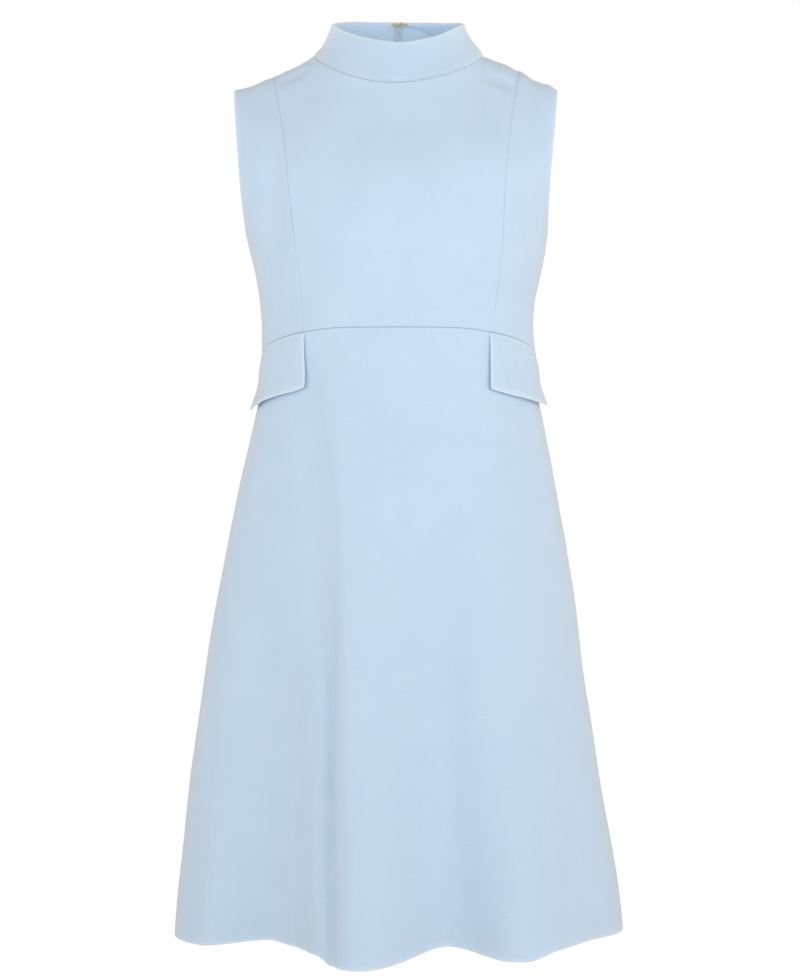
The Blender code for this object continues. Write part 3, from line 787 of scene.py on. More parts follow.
@dataclass
class MeshParts:
    """Points and faces gathered for one mesh."""

    points: list[Array] = field(default_factory=list)
    faces: list[Array] = field(default_factory=list)
    marks: list[Array] = field(default_factory=list)
    count: int = 0

    def add(self, points: Array, faces: Iterable[Array], marks: Array | None = None) -> None:
        """Adds one body of points and faces.

        Args:
            points: its points.
            faces: tables of faces, each a row of numbers of its own points.
            marks: for each point its share of the painted highlight along ironed edges, and of the
                painted shade in the hollows of seams, both from 0 to 1.
        """
        self.points.append(points)
        self.faces.extend(np.asarray(table) + self.count for table in faces)
        self.marks.append(np.zeros((len(points), 2)) if marks is None else marks)
        self.count += len(points)

    def finish(self, name: str, material: Material) -> Object:
        """Makes the object.

        Args:
            name: its name.
            material: its material.

        Returns:
            The object, shaded smooth.
        """
        mesh = bpy.data.meshes.new(name)
        faces = [face for part in self.faces for face in part.tolist()]
        mesh.from_pydata((np.concatenate(self.points) * MM).tolist(), [], faces)
        marks = np.concatenate(self.marks).astype(np.float32)
        for column, mark in enumerate(MARKS):
            values = mesh.attributes.new(mark, "FLOAT", "POINT")
            values.data.foreach_set("value", np.ascontiguousarray(marks[:, column]))
        mesh.shade_smooth()
        return placed(name, mesh, material)


def placed(name: str, mesh: bpy.types.Mesh, material: Material) -> Object:
    """Puts a mesh in the scene.

    Args:
        name: the new object's name.
        mesh: its mesh.
        material: its material.

    Returns:
        The object.
    """
    mesh.materials.append(material)
    made = bpy.data.objects.new(name, mesh)
    bpy.context.collection.objects.link(made)
    return made


def grid_faces(rows: int, columns: int, start: int = 0, flip: bool = False) -> Array:
    """Four-sided faces of a grid whose points are numbered row by row.

    Args:
        rows: how many rows of points.
        columns: how many in each.
        start: the first point's number.
        flip: turns the faces over.

    Returns:
        Rows of four numbers.
    """
    index = np.arange(rows * columns).reshape(rows, columns) + start
    faces = np.stack([index[:-1, :-1], index[:-1, 1:], index[1:, 1:], index[1:, :-1]], -1)
    faces = faces.reshape(-1, 4)
    return faces[:, ::-1] if flip else faces


@dataclass
class Cloth:
    """A piece of cloth: a face, the line its edges reach, and its thickness."""

    face: Array  # the outer face, up to where its edges begin to round
    reach: Array  # the same grid out to the edges themselves
    normals: Array
    thickness: Array | float
    radius: Array | float  # of its edges' rounding
    folded: Array | float = 1.0  # 1 where an edge is folded, and 0 where it is sewn to a neighbour
    seam_shade: Array | float = 0.0  # how much painted shade a sewn edge gets, for the hollow its stitches draw in
    inner_out: Array | float = 0.0  # how much further in the inner face stands

    def parts(self) -> MeshParts:
        """Closes the cloth.

        Returns:
            The outer face, the rounded rim and the inner face, as one body.
        """
        rows, columns = self.face.shape[:2]
        thick = on_grid(self.thickness, self.face) + on_grid(self.inner_out, self.face)
        inner = self.face - self.normals * thick[..., None]
        rim_face, rim_thick = round_grid(self.face), round_grid(thick)
        radius = np.minimum(round_grid(on_grid(self.radius, self.face)), FLATTEST * rim_thick)
        way, depth = round_grid(self.reach) - rim_face, round_grid(self.normals)
        rings = []
        for turn, behind in [(t, False) for t in ROUNDING] + [(t, True) for t in ROUNDING[::-1]]:
            sunk = radius * (1 - math.cos(turn))
            sunk = rim_thick - sunk if behind else sunk
            rings.append(rim_face + way * math.sin(turn) - depth * sunk[:, None])
        number = rows * columns
        index = round_grid(np.arange(number).reshape(rows, columns))
        rim = np.arange(len(index))
        loops = [2 * number + k * len(index) + rim for k in range(len(rings))]
        loops = [index, *loops, index + number]
        faces = [grid_faces(rows, columns), grid_faces(rows, columns, number, True)]
        after = np.roll(rim, -1)
        for upper, lower in zip(loops, loops[1:]):
            faces.append(np.stack([upper[after], upper, lower, lower[after]], -1))
        # the marks: a painted highlight along folded edges and painted shade in the hollows of sewn
        # ones
        folded, seam_shade = on_grid(self.folded, self.face), on_grid(self.seam_shade, self.face)
        pressed_highlight = (pressed_highlight_share(self.reach) * folded).ravel()
        marks = np.zeros((2 * number + len(rings) * len(rim), len(MARKS)))
        marks[:, 0] = joined(pressed_highlight, pressed_highlight, *[round_grid(folded)] * len(rings))
        marks[2 * number :, 1] = np.tile(round_grid(seam_shade), len(rings))
        points = np.concatenate([self.face.reshape(-1, 3), inner.reshape(-1, 3), *rings])
        made = MeshParts()
        made.add(points, faces, marks)
        return made

    def flat(self) -> Pair:
        """Measures the rectangle that the cloth is cut from.

        Returns:
            Its width and length, in metres.
        """
        wide = np.linalg.norm(np.diff(self.reach, axis=1), axis=-1).sum(1).max()
        long = np.linalg.norm(np.diff(self.reach, axis=0), axis=-1).sum(0).max()
        return round(float(wide) * MM, 3), round(float(long) * MM, 3)


def from_edges(points: Array) -> dict[str, Array]:
    """How far each point of a grid is from each edge, along the cloth.

    Args:
        points: rows by columns of points.

    Returns:
        A grid of distances for each edge.
    """
    across = np.linalg.norm(np.diff(points, axis=1), axis=-1)
    up = np.linalg.norm(np.diff(points, axis=0), axis=-1)
    left = np.pad(np.cumsum(across, 1), ((0, 0), (1, 0)))
    bottom = np.pad(np.cumsum(up, 0), ((1, 0), (0, 0)))
    right, top = left[:, -1:] - left, bottom[-1] - bottom
    return {"left": left, "right": right, "bottom": bottom, "top": top}


def pressed_highlight_share(points: Array) -> Array:
    """The painted highlight of an ironed edge: 1 on the edge, fading within a few millimetres."""
    nearest = np.minimum.reduce(list(from_edges(points).values()))
    return np.exp(-nearest / HIGHLIGHT_REACH)


@dataclass(frozen=True)
class Sewing:
    """How the cloth behaves beside a line of stitches."""

    swell: float = 0.3  # the seam allowance inside lifts the cloth beside the seam
    swell_reach: float = 4.5
    pucker: float = 0.14
    pucker_step: float = 11.0
    pucker_drift: Pair = (1.7, 17.0)  # how much the step varies, and how slowly
    seam_radius: float = 0.8
    flat_seam_radius: float = 0.55  # where the iron has flattened it
    fold_radius: float = 0.88
    overlap: float = 0.05  # neighbours touch

    def radius(self, edge: Edge) -> float:
        """How round an edge of this kind is."""
        return self.seam_radius if edge is Edge.SEAM else self.fold_radius

    def lift(self, distance: Array, along: Array) -> Array:
        """How far the cloth stands out beside a seam.

        Args:
            distance: how far each point is from the seam.
            along: how far along the seam it is.

        Returns:
            Millimetres, 0 on the seam itself.
        """
        near = distance / self.swell_reach
        much, slow = self.pucker_drift
        wave = np.sin(2 * math.pi * along / self.pucker_step + much * np.sin(along / slow))
        return (self.swell + self.pucker * wave) * near * np.exp(1 - near)


SEWING = Sewing()
CREPE_THICKNESS = 1.8
CREPE_SLOT = "powder_blue_crepe"


def at_edges(points: Array, values: dict[str, Any]) -> Array:
    """Spreads a value for each edge over a grid.

    Args:
        points: the grid's points.
        values: one number, or one for each point, for each edge.

    Returns:
        A grid, 0 inside, with the higher value at a corner.
    """
    grid = np.zeros(points.shape[:2])
    for side, value in values.items():
        line = LINES[side][0]
        grid[line] = np.maximum(grid[line], value)
    return grid


def cut_panel(
    form: WornForm,
    angles: Array,
    heights: Array,
    edges: dict[str, Edge | Array],
    gaps: dict[str, Array | float] | None = None,
    seam_shades: dict[str, Array | float] | None = None,
    thickness: Array | float = CREPE_THICKNESS,
    hand: int = 1,
) -> Cloth:
    """Cuts a panel of cloth from the worn surface.

    Args:
        form: the worn surface.
        angles: the grid's angles round the body.
        heights: the grid's heights.
        edges: how each edge is finished, or for each of its points, its radius.
        gaps: how far an edge stands back from its line.
        seam_shades: how much painted shade an edge's seam hollow gets, from 0 to 1.
        thickness: of the cloth.
        hand: -1 turns over a panel laid out for the viewer's right, for the left.

    Returns:
        The panel.
    """
    if hand < 0:
        angles, heights = -angles[:, ::-1], heights[:, ::-1]
        swap = {"left": "right", "right": "left"}
        edges, gaps, seam_shades = (
            {swap.get(side, side): value for side, value in (kept or {}).items()}
            for kept in (edges, gaps, seam_shades)
        )
        if "top" in gaps:
            gaps["top"] = gaps["top"][::-1]
    points, normals = form.face(angles, heights), form.facing(angles, heights)
    away = from_edges(points)
    for side, finish in edges.items():
        if finish is Edge.SEAM:
            along = away["bottom" if side in ("left", "right") else "left"]
            points = points + normals * SEWING.lift(away[side], along)[..., None]
    radii = {
        side: SEWING.radius(finish) if isinstance(finish, Edge) else finish
        for side, finish in edges.items()
    }
    reach = moved_in(points, {side: -SEWING.overlap for side in edges} | (gaps or {}))
    # painted shade in the hollows of seams
    radius, seam_shade = at_edges(points, radii), at_edges(points, seam_shades or {})
    folded = folded_share(radius, away)
    return Cloth(moved_in(reach, radii), reach, normals, thickness, radius, folded, seam_shade)


def folded_share(radius: Array, away: dict[str, Array]) -> Array:
    """Which points belong to a folded edge.

    Args:
        radius: the radius at each point of the rim.
        away: how far each point is from each edge.

    Returns:
        A grid of 1 where the nearest edge is folded, and 0 where it is sewn.
    """
    rows, columns = radius.shape
    nearest = np.argmin(np.stack([away[side] for side in LINES]), 0)
    down, across = np.indices(radius.shape)
    rim = {"bottom": (0 * down, across), "top": (0 * down + rows - 1, across)}
    rim |= {"left": (down, 0 * across), "right": (down, 0 * across + columns - 1)}
    at = [radius[rim[side]] for side in LINES]
    return (np.choose(nearest, at) > SEWING.seam_radius + 0.01).astype(float)


SKEW = (0.31, 0.52, 0.8)  # a way that no path starts in


def tube(
    path: Array, radius: Array | float, sides: int = 8, closed: bool = False
) -> tuple[Array, list[Array]]:
    """A round tube along a path.

    Args:
        path: its middle, point by point.
        radius: one number or one for each point.
        sides: how many sides it has.
        closed: joins its end to its start.

    Returns:
        Its points and tables of its faces. Ends that aren't joined are closed.
    """
    path = np.asarray(path, float)
    count = len(path)
    if closed:
        along = unit(np.roll(path, -1, 0) - np.roll(path, 1, 0))
    else:
        along = unit(np.gradient(path, axis=0))
    across = [unit(np.cross(along[0], SKEW))]
    for way in along[1:]:
        across.append(unit(across[-1] - way * np.dot(across[-1], way)))
    across = np.array(across)
    other = np.cross(along, across)
    turns = 2 * math.pi * np.arange(sides) / sides
    thick = np.broadcast_to(np.asarray(radius, float), (count,))[:, None, None]
    ring = across[:, None] * np.cos(turns)[:, None] + other[:, None] * np.sin(turns)[:, None]
    points = (path[:, None] + ring * thick).reshape(-1, 3)
    index = np.arange(count * sides).reshape(count, sides)
    rows = np.concatenate([index, index[:1]]) if closed else index
    beside = np.roll(rows, -1, 1)
    faces = np.stack([rows[:-1], beside[:-1], beside[1:], rows[1:]], -1).reshape(-1, 4)
    if closed:
        return points, [faces]
    ends = np.concatenate([path[:1], path[-1:]])
    start, stop = index[0], index[-1]
    caps = [
        np.stack([np.full(sides, len(points)), np.roll(start, -1), start], -1),
        np.stack([np.full(sides, len(points) + 1), stop, np.roll(stop, -1)], -1),
    ]
    return np.concatenate([points, ends]), [faces, *caps]


def arc(middle: Point, start: Point, quarter: Point, turns: Sequence[float], number: int) -> Array:
    """Points on part of an ellipse; start and quarter go from its middle to turns of 0 and 90."""
    turn = np.linspace(*turns, number)[:, None]
    return np.array(middle) + np.cos(turn) * start + np.sin(turn) * quarter


def loft(
    shape: bmesh.types.BMesh, rings: Sequence[Sequence[Sequence[float]]], closed: bool = False
) -> None:
    """Joins rings of points with four-sided faces.

    Args:
        shape: the mesh that gets them.
        rings: as many points in each, in millimetres.
        closed: joins the last ring to the first. If not, both are closed with a face.
    """
    made = [[shape.verts.new(Vector(point) * MM) for point in ring] for ring in rings]
    if not closed:
        shape.faces.new(made[0])
        shape.faces.new(made[-1][::-1])
    for first, second in zip(made, made[1:] + made[:1] if closed else made[1:]):
        for i in range(len(first)):
            shape.faces.new((first[i], first[i - 1], second[i - 1], second[i]))


def dress_piece(piece: Object, slot: str, *nodes: str, body: str = "dress") -> None:
    """Ties a piece to the frame.

    Args:
        piece: the new piece.
        slot: the record's material slot. Not used.
        nodes: the CAD nodes that it stands for.
        body: the CAD body that it moves with.
    """
    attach(piece, body)
    if nodes:
        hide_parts(*nodes)
    faces = len(piece.data.polygons)
    LOG.info("%s: %d faces, stands for %s", piece.name, faces, nodes or "nothing")


def sheet_of(
    name: str,
    cloth: Cloth,
    finish: Material,
    slot: str,
    node: str,
) -> None:
    """Args:
        name: the piece's name.
        cloth: its shape.
        finish: its material.
        slot: the record's material slot.
        node: the CAD node that it stands for.
    """
    piece = cloth.parts().finish(name, finish)
    dress_piece(piece, slot, node)


# ---------------------------------------------------------------- sub-assemblies
@dataclass
class Bodice:
    """Five panels between the neck, the armholes and the empire seam."""

    form: WornForm
    crepe: Material
    # how far out the columns beside each seam meet the shoulder: closer together at its edge
    middle_edge: tuple[float, ...] = (127.5, 125.2, 122.5)
    middle_rest: Span = (119.5, 92, 10)
    side_edge: tuple[float, ...] = (127.5, 129.4, 131.6)
    side_rest: Span = (133.8, 163, 16)
    side_tip: tuple[float, ...] = (164.9, 167, 169)
    back_tip: tuple[float, ...] = (169, 166.8, 164.4)
    back_rest: Span = (161.5, 91.5, 22)
    # turns round the neck at which the others meet it
    neck_front: Span = (-90, 90, 73)
    neck_back: Span = (90, 176, 36)
    zip_edge: tuple[float, ...] = (177.4, 178.7, 180)
    lower_edge: tuple[float, ...] = (0, 0.021, 0.045)  # shares of the height under the underarm
    lower_rows: Span = (0.075, 1, 30)
    upper_rows: int = 58
    underarm_rows: int = 5  # more, since the armhole turns fast there
    zip_gap: float = 1.15
    neck_overlap: float = 0.5  # how far the panels reach under the collar
    # how much painted shade each seam's hollow gets, from 0 to 1
    princess_shade: float = 0.25
    waist_shade: float = 1.0
    middle_waist_shade: float = 0.6
    neck_shade: float = 0.9
    shoulder_shade: float = 0.6
    back_top_shade: float = 0.8
    fades_right: Pair = (-290.0, -262.0)  # heights over which the seam's painted shade and rounding fade out
    fades_left: Pair = (-215.0, -180.0)
    faded_radius: float = 0.4  # of the edge's rounding, where the seam has faded out

    def levels(self, bottom: Array, top: Array) -> Array:
        """Heights of the panels' rows.

        Args:
            bottom: the lowest height of each column.
            top: the highest.

        Returns:
            A grid of heights, a row of which lies at the underarm.
        """
        low = joined(self.lower_edge, np.linspace(*self.lower_rows))[:, None]
        high = np.sin(np.linspace(0, math.pi / 2, self.upper_rows + 1))[1:]
        first = np.linspace(0, 1, self.underarm_rows + 2)[1:-1] ** 2
        high = joined(high[0] * first, high)[:, None]
        underarm = self.form.underarm
        return np.concatenate([mix(bottom, underarm, low), mix(underarm, top, high)])

    def columns(self, left: Any, right: Any, angles: Array, tops: Array) -> tuple[Array, Array]:
        """The grid of a panel between two edges.

        Args:
            left: the left edge's angle as a function of height.
            right: the right edge's.
            angles: the angles at which the columns meet the panel's top edge.
            tops: the top edge's height there.

        Returns:
            Grids of angles and of heights.
        """
        shares = (angles - left(tops)) / (right(tops) - left(tops))
        bottom = np.full_like(shares, self.form.underarm)
        for _ in range(8):  # the waist's height and the angle depend on each other
            bottom = self.form.waist_z(np.abs(mix(left(bottom), right(bottom), shares)))
        heights = self.levels(bottom, tops)
        return mix(left(heights), right(heights), shares[None]), heights

    def princess_seam_shade(self, hand: int, heights: Array) -> Array:
        """Painted shade in a princess seam's hollow: it fades out under the bust, the left one
        higher up.
        """
        fades = self.fades_right if hand > 0 else self.fades_left
        return self.princess_shade * step_up(heights, *fades)

    def princess_radius(self, hand: int, heights: Array) -> Array:
        """How round a princess seam's edges are: nearly flat where it has faded out."""
        share = self.princess_seam_shade(hand, heights) / self.princess_shade
        return SEWING.flat_seam_radius * mix(self.faded_radius, 1.0, share)

    def front_middle(self) -> Cloth:
        """The centre front panel.

        Returns:
            Its cloth.
        """
        form = self.form
        across = joined(self.middle_edge, np.linspace(*self.middle_rest))
        across = joined(-across, across[::-1])
        side = form.angle_of(across, form.ridge(across))
        left, right = np.split(across, 2)
        turns = np.linspace(*self.neck_front)
        angles, tops = form.neck_point(turns)
        angles = joined(side[: len(left)], angles, side[len(left) :])
        tops = joined(form.ridge(left), tops, form.ridge(right))
        angles, heights = self.columns(
            lambda z: -form.princess_angle(z, -1), form.princess_angle, angles, tops
        )
        edges: dict[str, Edge | Array] = {
            "bottom": Edge.SEAM,
            "top": Edge.SEAM,
            "left": self.princess_radius(-1, heights[:, 0]),
            "right": self.princess_radius(1, heights[:, -1]),
        }
        in_neck = joined(0 * left, 1 + 0 * turns, 0 * right) > 0
        neck = np.where(in_neck, -self.neck_overlap, -SEWING.overlap)
        # painted shade in the hollows of the seams
        seam_shades = {
            "bottom": self.middle_waist_shade,
            "left": self.princess_seam_shade(-1, heights[:, 0]),
            "right": self.princess_seam_shade(1, heights[:, -1]),
            "top": np.where(in_neck, self.neck_shade, self.shoulder_shade),
        }
        return cut_panel(form, angles, heights, edges, {"top": neck}, seam_shades)

    def front_side(self, hand: int) -> Cloth:
        """A side front panel.

        Args:
            hand: 1 for the viewer's right, -1 for the left.

        Returns:
            Its cloth.
        """
        form = self.form
        across = joined(self.side_edge, np.linspace(*self.side_rest), self.side_tip)
        ridge = form.ridge(hand * across)
        angles = form.angle_of(across, ridge)
        angles, heights = self.columns(
            lambda z: form.princess_angle(z, hand), form.edge_angle, angles, ridge
        )
        edges: dict[str, Edge | Array] = {"bottom": Edge.SEAM, "top": Edge.SEAM}
        edges["left"] = self.princess_radius(hand, heights[:, 0])
        edges["right"] = self.side_radius(heights[:, -1])
        # painted shade in the hollows of the seams
        seam_shades = {
            "bottom": self.waist_shade,
            "top": self.shoulder_shade,
            "left": self.princess_seam_shade(hand, heights[:, 0]),
        }
        return cut_panel(form, angles, heights, edges, {}, seam_shades, hand=hand)

    def side_radius(self, heights: Array) -> Array:
        """The side edge's radius: a seam up to the underarm, and a full fold round the armhole."""
        sewn = heights <= self.form.underarm + 0.01
        return np.where(sewn, SEWING.seam_radius, SEWING.fold_radius)

    def back_half(self, hand: int) -> Cloth:
        """A back panel.

        Args:
            hand: 1 for the one on the viewer's right in front view, -1 for the left.

        Returns:
            Its cloth.
        """
        form = self.form
        across = joined(self.back_tip, np.linspace(*self.back_rest))
        turns = joined(np.linspace(*self.neck_back), self.zip_edge)
        angles, tops = form.neck_point(turns, behind=True)
        ridge = form.ridge(hand * across)
        angles = joined(180 - form.angle_of(across, ridge), angles)
        tops = joined(ridge, tops)
        angles, heights = self.columns(
            lambda z: 180 - form.edge_angle(z), lambda z: 180 + 0 * z, angles, tops
        )
        edges = {"bottom": Edge.SEAM, "top": Edge.SEAM, "right": Edge.FOLDED}
        edges["left"] = self.side_radius(heights[:, 0])
        neck = joined(0 * across - SEWING.overlap, 0 * turns - self.neck_overlap)
        gaps = {"top": neck, "right": self.zip_gap}
        # painted shade in the hollows of the seams
        seam_shades = {"bottom": self.waist_shade, "top": self.back_top_shade}
        return cut_panel(form, angles, heights, edges, gaps, seam_shades, hand=hand)

    def build(self) -> None:
        """Makes the five panels."""
        made = {
            "bodice_centre_front": (self.front_middle(), "collar"),
            "bodice_side_front_right": (self.front_side(1), "bodice_centre_front"),
            "bodice_side_front_left": (self.front_side(-1), "bodice_centre_front"),
            "bodice_back_right": (self.back_half(1), "collar"),
            "bodice_back_left": (self.back_half(-1), "collar"),
        }
        for name, (cloth, above) in made.items():
            sheet_of(name + "_cloth", cloth, self.crepe, CREPE_SLOT, name)


@dataclass
class Skirt:
    """Three panels that hang from the empire seam to the hem."""

    form: WornForm
    crepe: Material
    drop: float = 620.0  # about the way from the waist to the hem, for the spacing of rows
    hem_rows: tuple[float, ...] = (0, 2.4, 5, 9, 13.5, 18, 22.5, 27, 30.8, 32, 33.4)
    rows: Span = (37.5, 614, 138)
    waist_rows: tuple[float, ...] = (617.4, 620)
    seam_columns: tuple[float, ...] = (90, 89.1, 88)  # angles beside a side seam
    # angles, closer together where the long fold is steep
    front_columns: tuple[Span, ...] = ((-86.6, -28, 50), (-27.5, -11, 34), (-10, 86.6, 82))
    back_columns: Span = (93.4, 177.4, 70)
    zip_columns: tuple[float, ...] = (178.4, 179.2, 180)
    turn_up: float = 32.0  # the hem's turned-up edge
    turn_up_thickness: float = 0.8
    turn_up_edge: float = 0.8
    zip_gap: float = 1.15
    zip_end: float = -472.0
    zip_closing: Pair = (-6.0, 4.0)  # painted shade in the waist seam's hollow: at the middle, and below at the sides
    middle_waist_shade: float = 0.6  # how deep the waist seam looks
    waist_shade: float = 1.0
    middle: Pair = (30, 50)  # angles over which the middle becomes the side

    def panel(self, angles: Array, edges: dict[str, Edge], zipped: str | None = None) -> Cloth:
        """A panel between the hem and the waist.

        Args:
            angles: its columns' angles.
            edges: how its edges are finished.
            zipped: the edge that the zip is sewn to, if any.

        Returns:
            Its cloth.
        """
        form = self.form
        up = joined(self.hem_rows, np.linspace(*self.rows), self.waist_rows) / self.drop
        heights = mix(form.hem_z(angles), form.waist_z(np.abs(angles)), up[:, None])
        grid = np.broadcast_to(angles, heights.shape)
        above = heights - form.hem_z(angles) - self.turn_up
        single = step_up(above, -self.turn_up_edge, self.turn_up_edge)
        thick = CREPE_THICKNESS + self.turn_up_thickness * (1 - single)
        gaps: dict[str, Array | float] = {}
        if zipped:
            low, high = self.zip_closing
            open_part = step_up(heights[:, 0], self.zip_end + low, self.zip_end + high)
            gaps[zipped] = mix(-SEWING.overlap, self.zip_gap, open_part)
        # the waist seam's painted shade, less of it at the middle
        side = step_up(np.abs(angles), *self.middle)
        seam_shade = mix(self.middle_waist_shade, self.waist_shade, side)
        return cut_panel(form, grid, heights, edges, gaps, {"top": seam_shade}, thick)

    def build(self) -> None:
        """Makes the front and the two backs."""
        seam = np.array(self.seam_columns)
        front = joined(-seam, *(np.linspace(*run) for run in self.front_columns), seam[::-1])
        back = joined(180 - seam, np.linspace(*self.back_columns), self.zip_columns)
        seams = {"top": Edge.SEAM, "left": Edge.SEAM, "right": Edge.SEAM, "bottom": Edge.FOLDED}
        panels = {
            "skirt_front": (self.panel(front, seams), "bodice_centre_front"),
            "skirt_back_right": (self.panel(back, seams, "right"), "bodice_back_right"),
            "skirt_back_left": (self.panel(-back[::-1], seams, "left"), "bodice_back_left"),
        }
        for name, (cloth, above) in panels.items():
            sheet_of(name + "_cloth", cloth, self.crepe, CREPE_SLOT, name)


@dataclass
class Collar:
    """The stand collar, a folded band open at the centre back."""

    form: WornForm
    crepe: Material
    thickness: float = 2.4
    top_half_width: float = 69.5
    top_front: float = 58.0
    top_back: float = 55.0
    top_edge: Rows = (  # turn, and the height of the collar's top edge
        (-180, 47.2), (-145, 45.8), (-126, 43.3), (-110, 39.9), (-90, 35.2), (-78, 32.0),
        (-54, 21.6), (-47, 18.9), (-35, 14.0), (-25, 11.0), (-16, 8.2), (-7, 6.7), (0, 6.2),
        (10, 6.9), (19, 9.2), (29, 12.2), (39, 16.2), (45, 19.1), (51.4, 22.2), (59, 25.8),
        (75, 31.7), (90, 35.2), (111, 40.0), (129, 42.7), (151, 45.4), (180, 47.2),
    )
    flare: float = 1.35  # more than 1 bends the band in sooner than up
    # share of the height, and how far each side stands out there
    left_side: Rows = (
        (0, 0), (0.15, -0.3), (0.28, -1.4), (0.42, -1.2), (0.6, -0.4), (0.75, 0), (1, 0),
    )
    right_side: Rows = (
        (0, 0), (0.15, 2.0), (0.28, 1.7), (0.42, 0.8), (0.55, 0.1), (0.75, 0), (1, 0),
    )
    # across, and the height of a slanting crease in the inner layer beside the zip
    inner_crease: Rows = ((4, 43.6), (11, 42.4), (24, 39.7), (37, 32.8), (50, 22))
    inner_stand: float = 1.5
    inner_fades: tuple[Pair, Pair] = ((4, 10), (36, 56))  # across, where it begins and ends
    inner_rise: Pair = (-1.4, 0.4)  # heights about the crease, over which the layer comes away
    seam_overlap: float = 0.4  # how far the band reaches under the neck seam
    # painted shade in the neck seam's hollow, from 0 to 1
    neck_seam_shade: float = 0.9
    end_radius: float = 1.1
    top_radius: float = 1.12
    zip_gap: float = 1.15
    seam_rows: tuple[float, ...] = (0, 0.055)
    rows: Span = (0.1, 0.94, 44)
    columns: Span = (-177.5, 177.5, 241)
    zip_columns: tuple[float, ...] = (178.9, 180)
    lean_height: float = 35.0  # the band leans as the body would at this height
    turn_step: float = 0.5  # for the normals, in degrees
    height_step: float = 0.03

    def point(self, turn: Array, height: Array) -> Array:
        """The collar's outer face.

        Args:
            turn: turns round the neck.
            height: shares of its height.

        Returns:
            Points, in the last axis of the array.
        """
        turn, height = np.broadcast_arrays(np.asarray(turn, float), np.asarray(height, float))
        base = self.form.plain(*self.form.neck_point(turn))
        side, ahead = np.sin(np.radians(turn)), np.cos(np.radians(turn))
        reach = np.where(ahead > 0, -self.top_front, -self.top_back) * ahead
        across = self.top_half_width * side + self.form.lean(self.lean_height)
        top = Table(self.top_edge)(np.mod(turn + 180, 360) - 180)
        crown = np.stack([across, reach, top], -1)
        inwards = 1 - (1 - height) ** self.flare
        point = mix(base, crown, inwards[..., None])
        point[..., 2] = mix(base[..., 2], crown[..., 2], height)
        out = np.where(side > 0, Table(self.right_side)(height), Table(self.left_side)(height))
        point[..., 0] += out * side * np.abs(side)
        return point

    def facing(self, turn: Array, height: Array) -> Array:
        """The outward normals of the collar's outer face.

        Args:
            turn: turns round the neck.
            height: shares of its height.

        Returns:
            Unit vectors.
        """
        low = np.clip(height - self.height_step, 0, 1)
        high = np.clip(height + self.height_step, 0, 1)
        left, right = (self.point(turn + k * self.turn_step, height) for k in (-1, 1))
        return unit(np.cross(right - left, self.point(turn, high) - self.point(turn, low)))

    def inner_fold(self, points: Array, turn: Array) -> Array:
        """How far the inner layer of the back stands off the outer one, above a slanting crease.

        Args:
            points: the collar's outer face.
            turn: turns round the neck.

        Returns:
            Millimetres, 0 but for a stretch beside the zip.
        """
        x, z = points[..., 0], points[..., 2]
        over = z - Table(self.inner_crease)(x)
        begin, end = self.inner_fades
        stretch = step_up(x, *begin) * (1 - step_up(x, *end)) * (np.cos(np.radians(turn)) < 0)
        return self.inner_stand * step_up(over, *self.inner_rise) * stretch

    def build(self) -> None:
        """Makes the band."""
        end = np.array(self.zip_columns)
        turns = joined(-end[::-1], np.linspace(*self.columns), end)
        heights = joined(self.seam_rows, np.linspace(*self.rows), 1)
        turn, height = np.meshgrid(turns, heights)
        points, normals = self.point(turn, height), self.facing(turn, height)
        away = from_edges(points)
        points = points + normals * SEWING.lift(away["bottom"], away["left"])[..., None]
        gaps = {"bottom": -self.seam_overlap, "left": self.zip_gap, "right": self.zip_gap}
        reach = moved_in(points, gaps)
        ends, top = self.end_radius, self.top_radius
        radii = {"bottom": SEWING.seam_radius, "left": ends, "right": ends, "top": top}
        radius, seam_shade = at_edges(points, radii), at_edges(points, {"bottom": self.neck_seam_shade})
        folded = folded_share(radius, away)
        inside = self.inner_fold(points, turn) * step_up(away["top"], 0.5, 3.0)
        face, thick = moved_in(reach, radii), self.thickness
        cloth = Cloth(face, reach, normals, thick, radius, folded, seam_shade, inside)
        sheet_of("collar_band", cloth, self.crepe, "collar_crepe", "collar")


@dataclass(frozen=True)
class FlapCut:
    """The sizes of one flap."""

    name: str
    side: int  # 1 on the viewer's right, -1 on the left
    inner: float  # from the centre front to its inner edge, at the seam
    inner_below: float  # and at its free edge
    depth: Rows  # angle, and how far down its free edge is there
    lift_outer: float  # how far the free edge stands off at the side
    lift_inner: float = 2.5
    outer_angle: float = 91.0


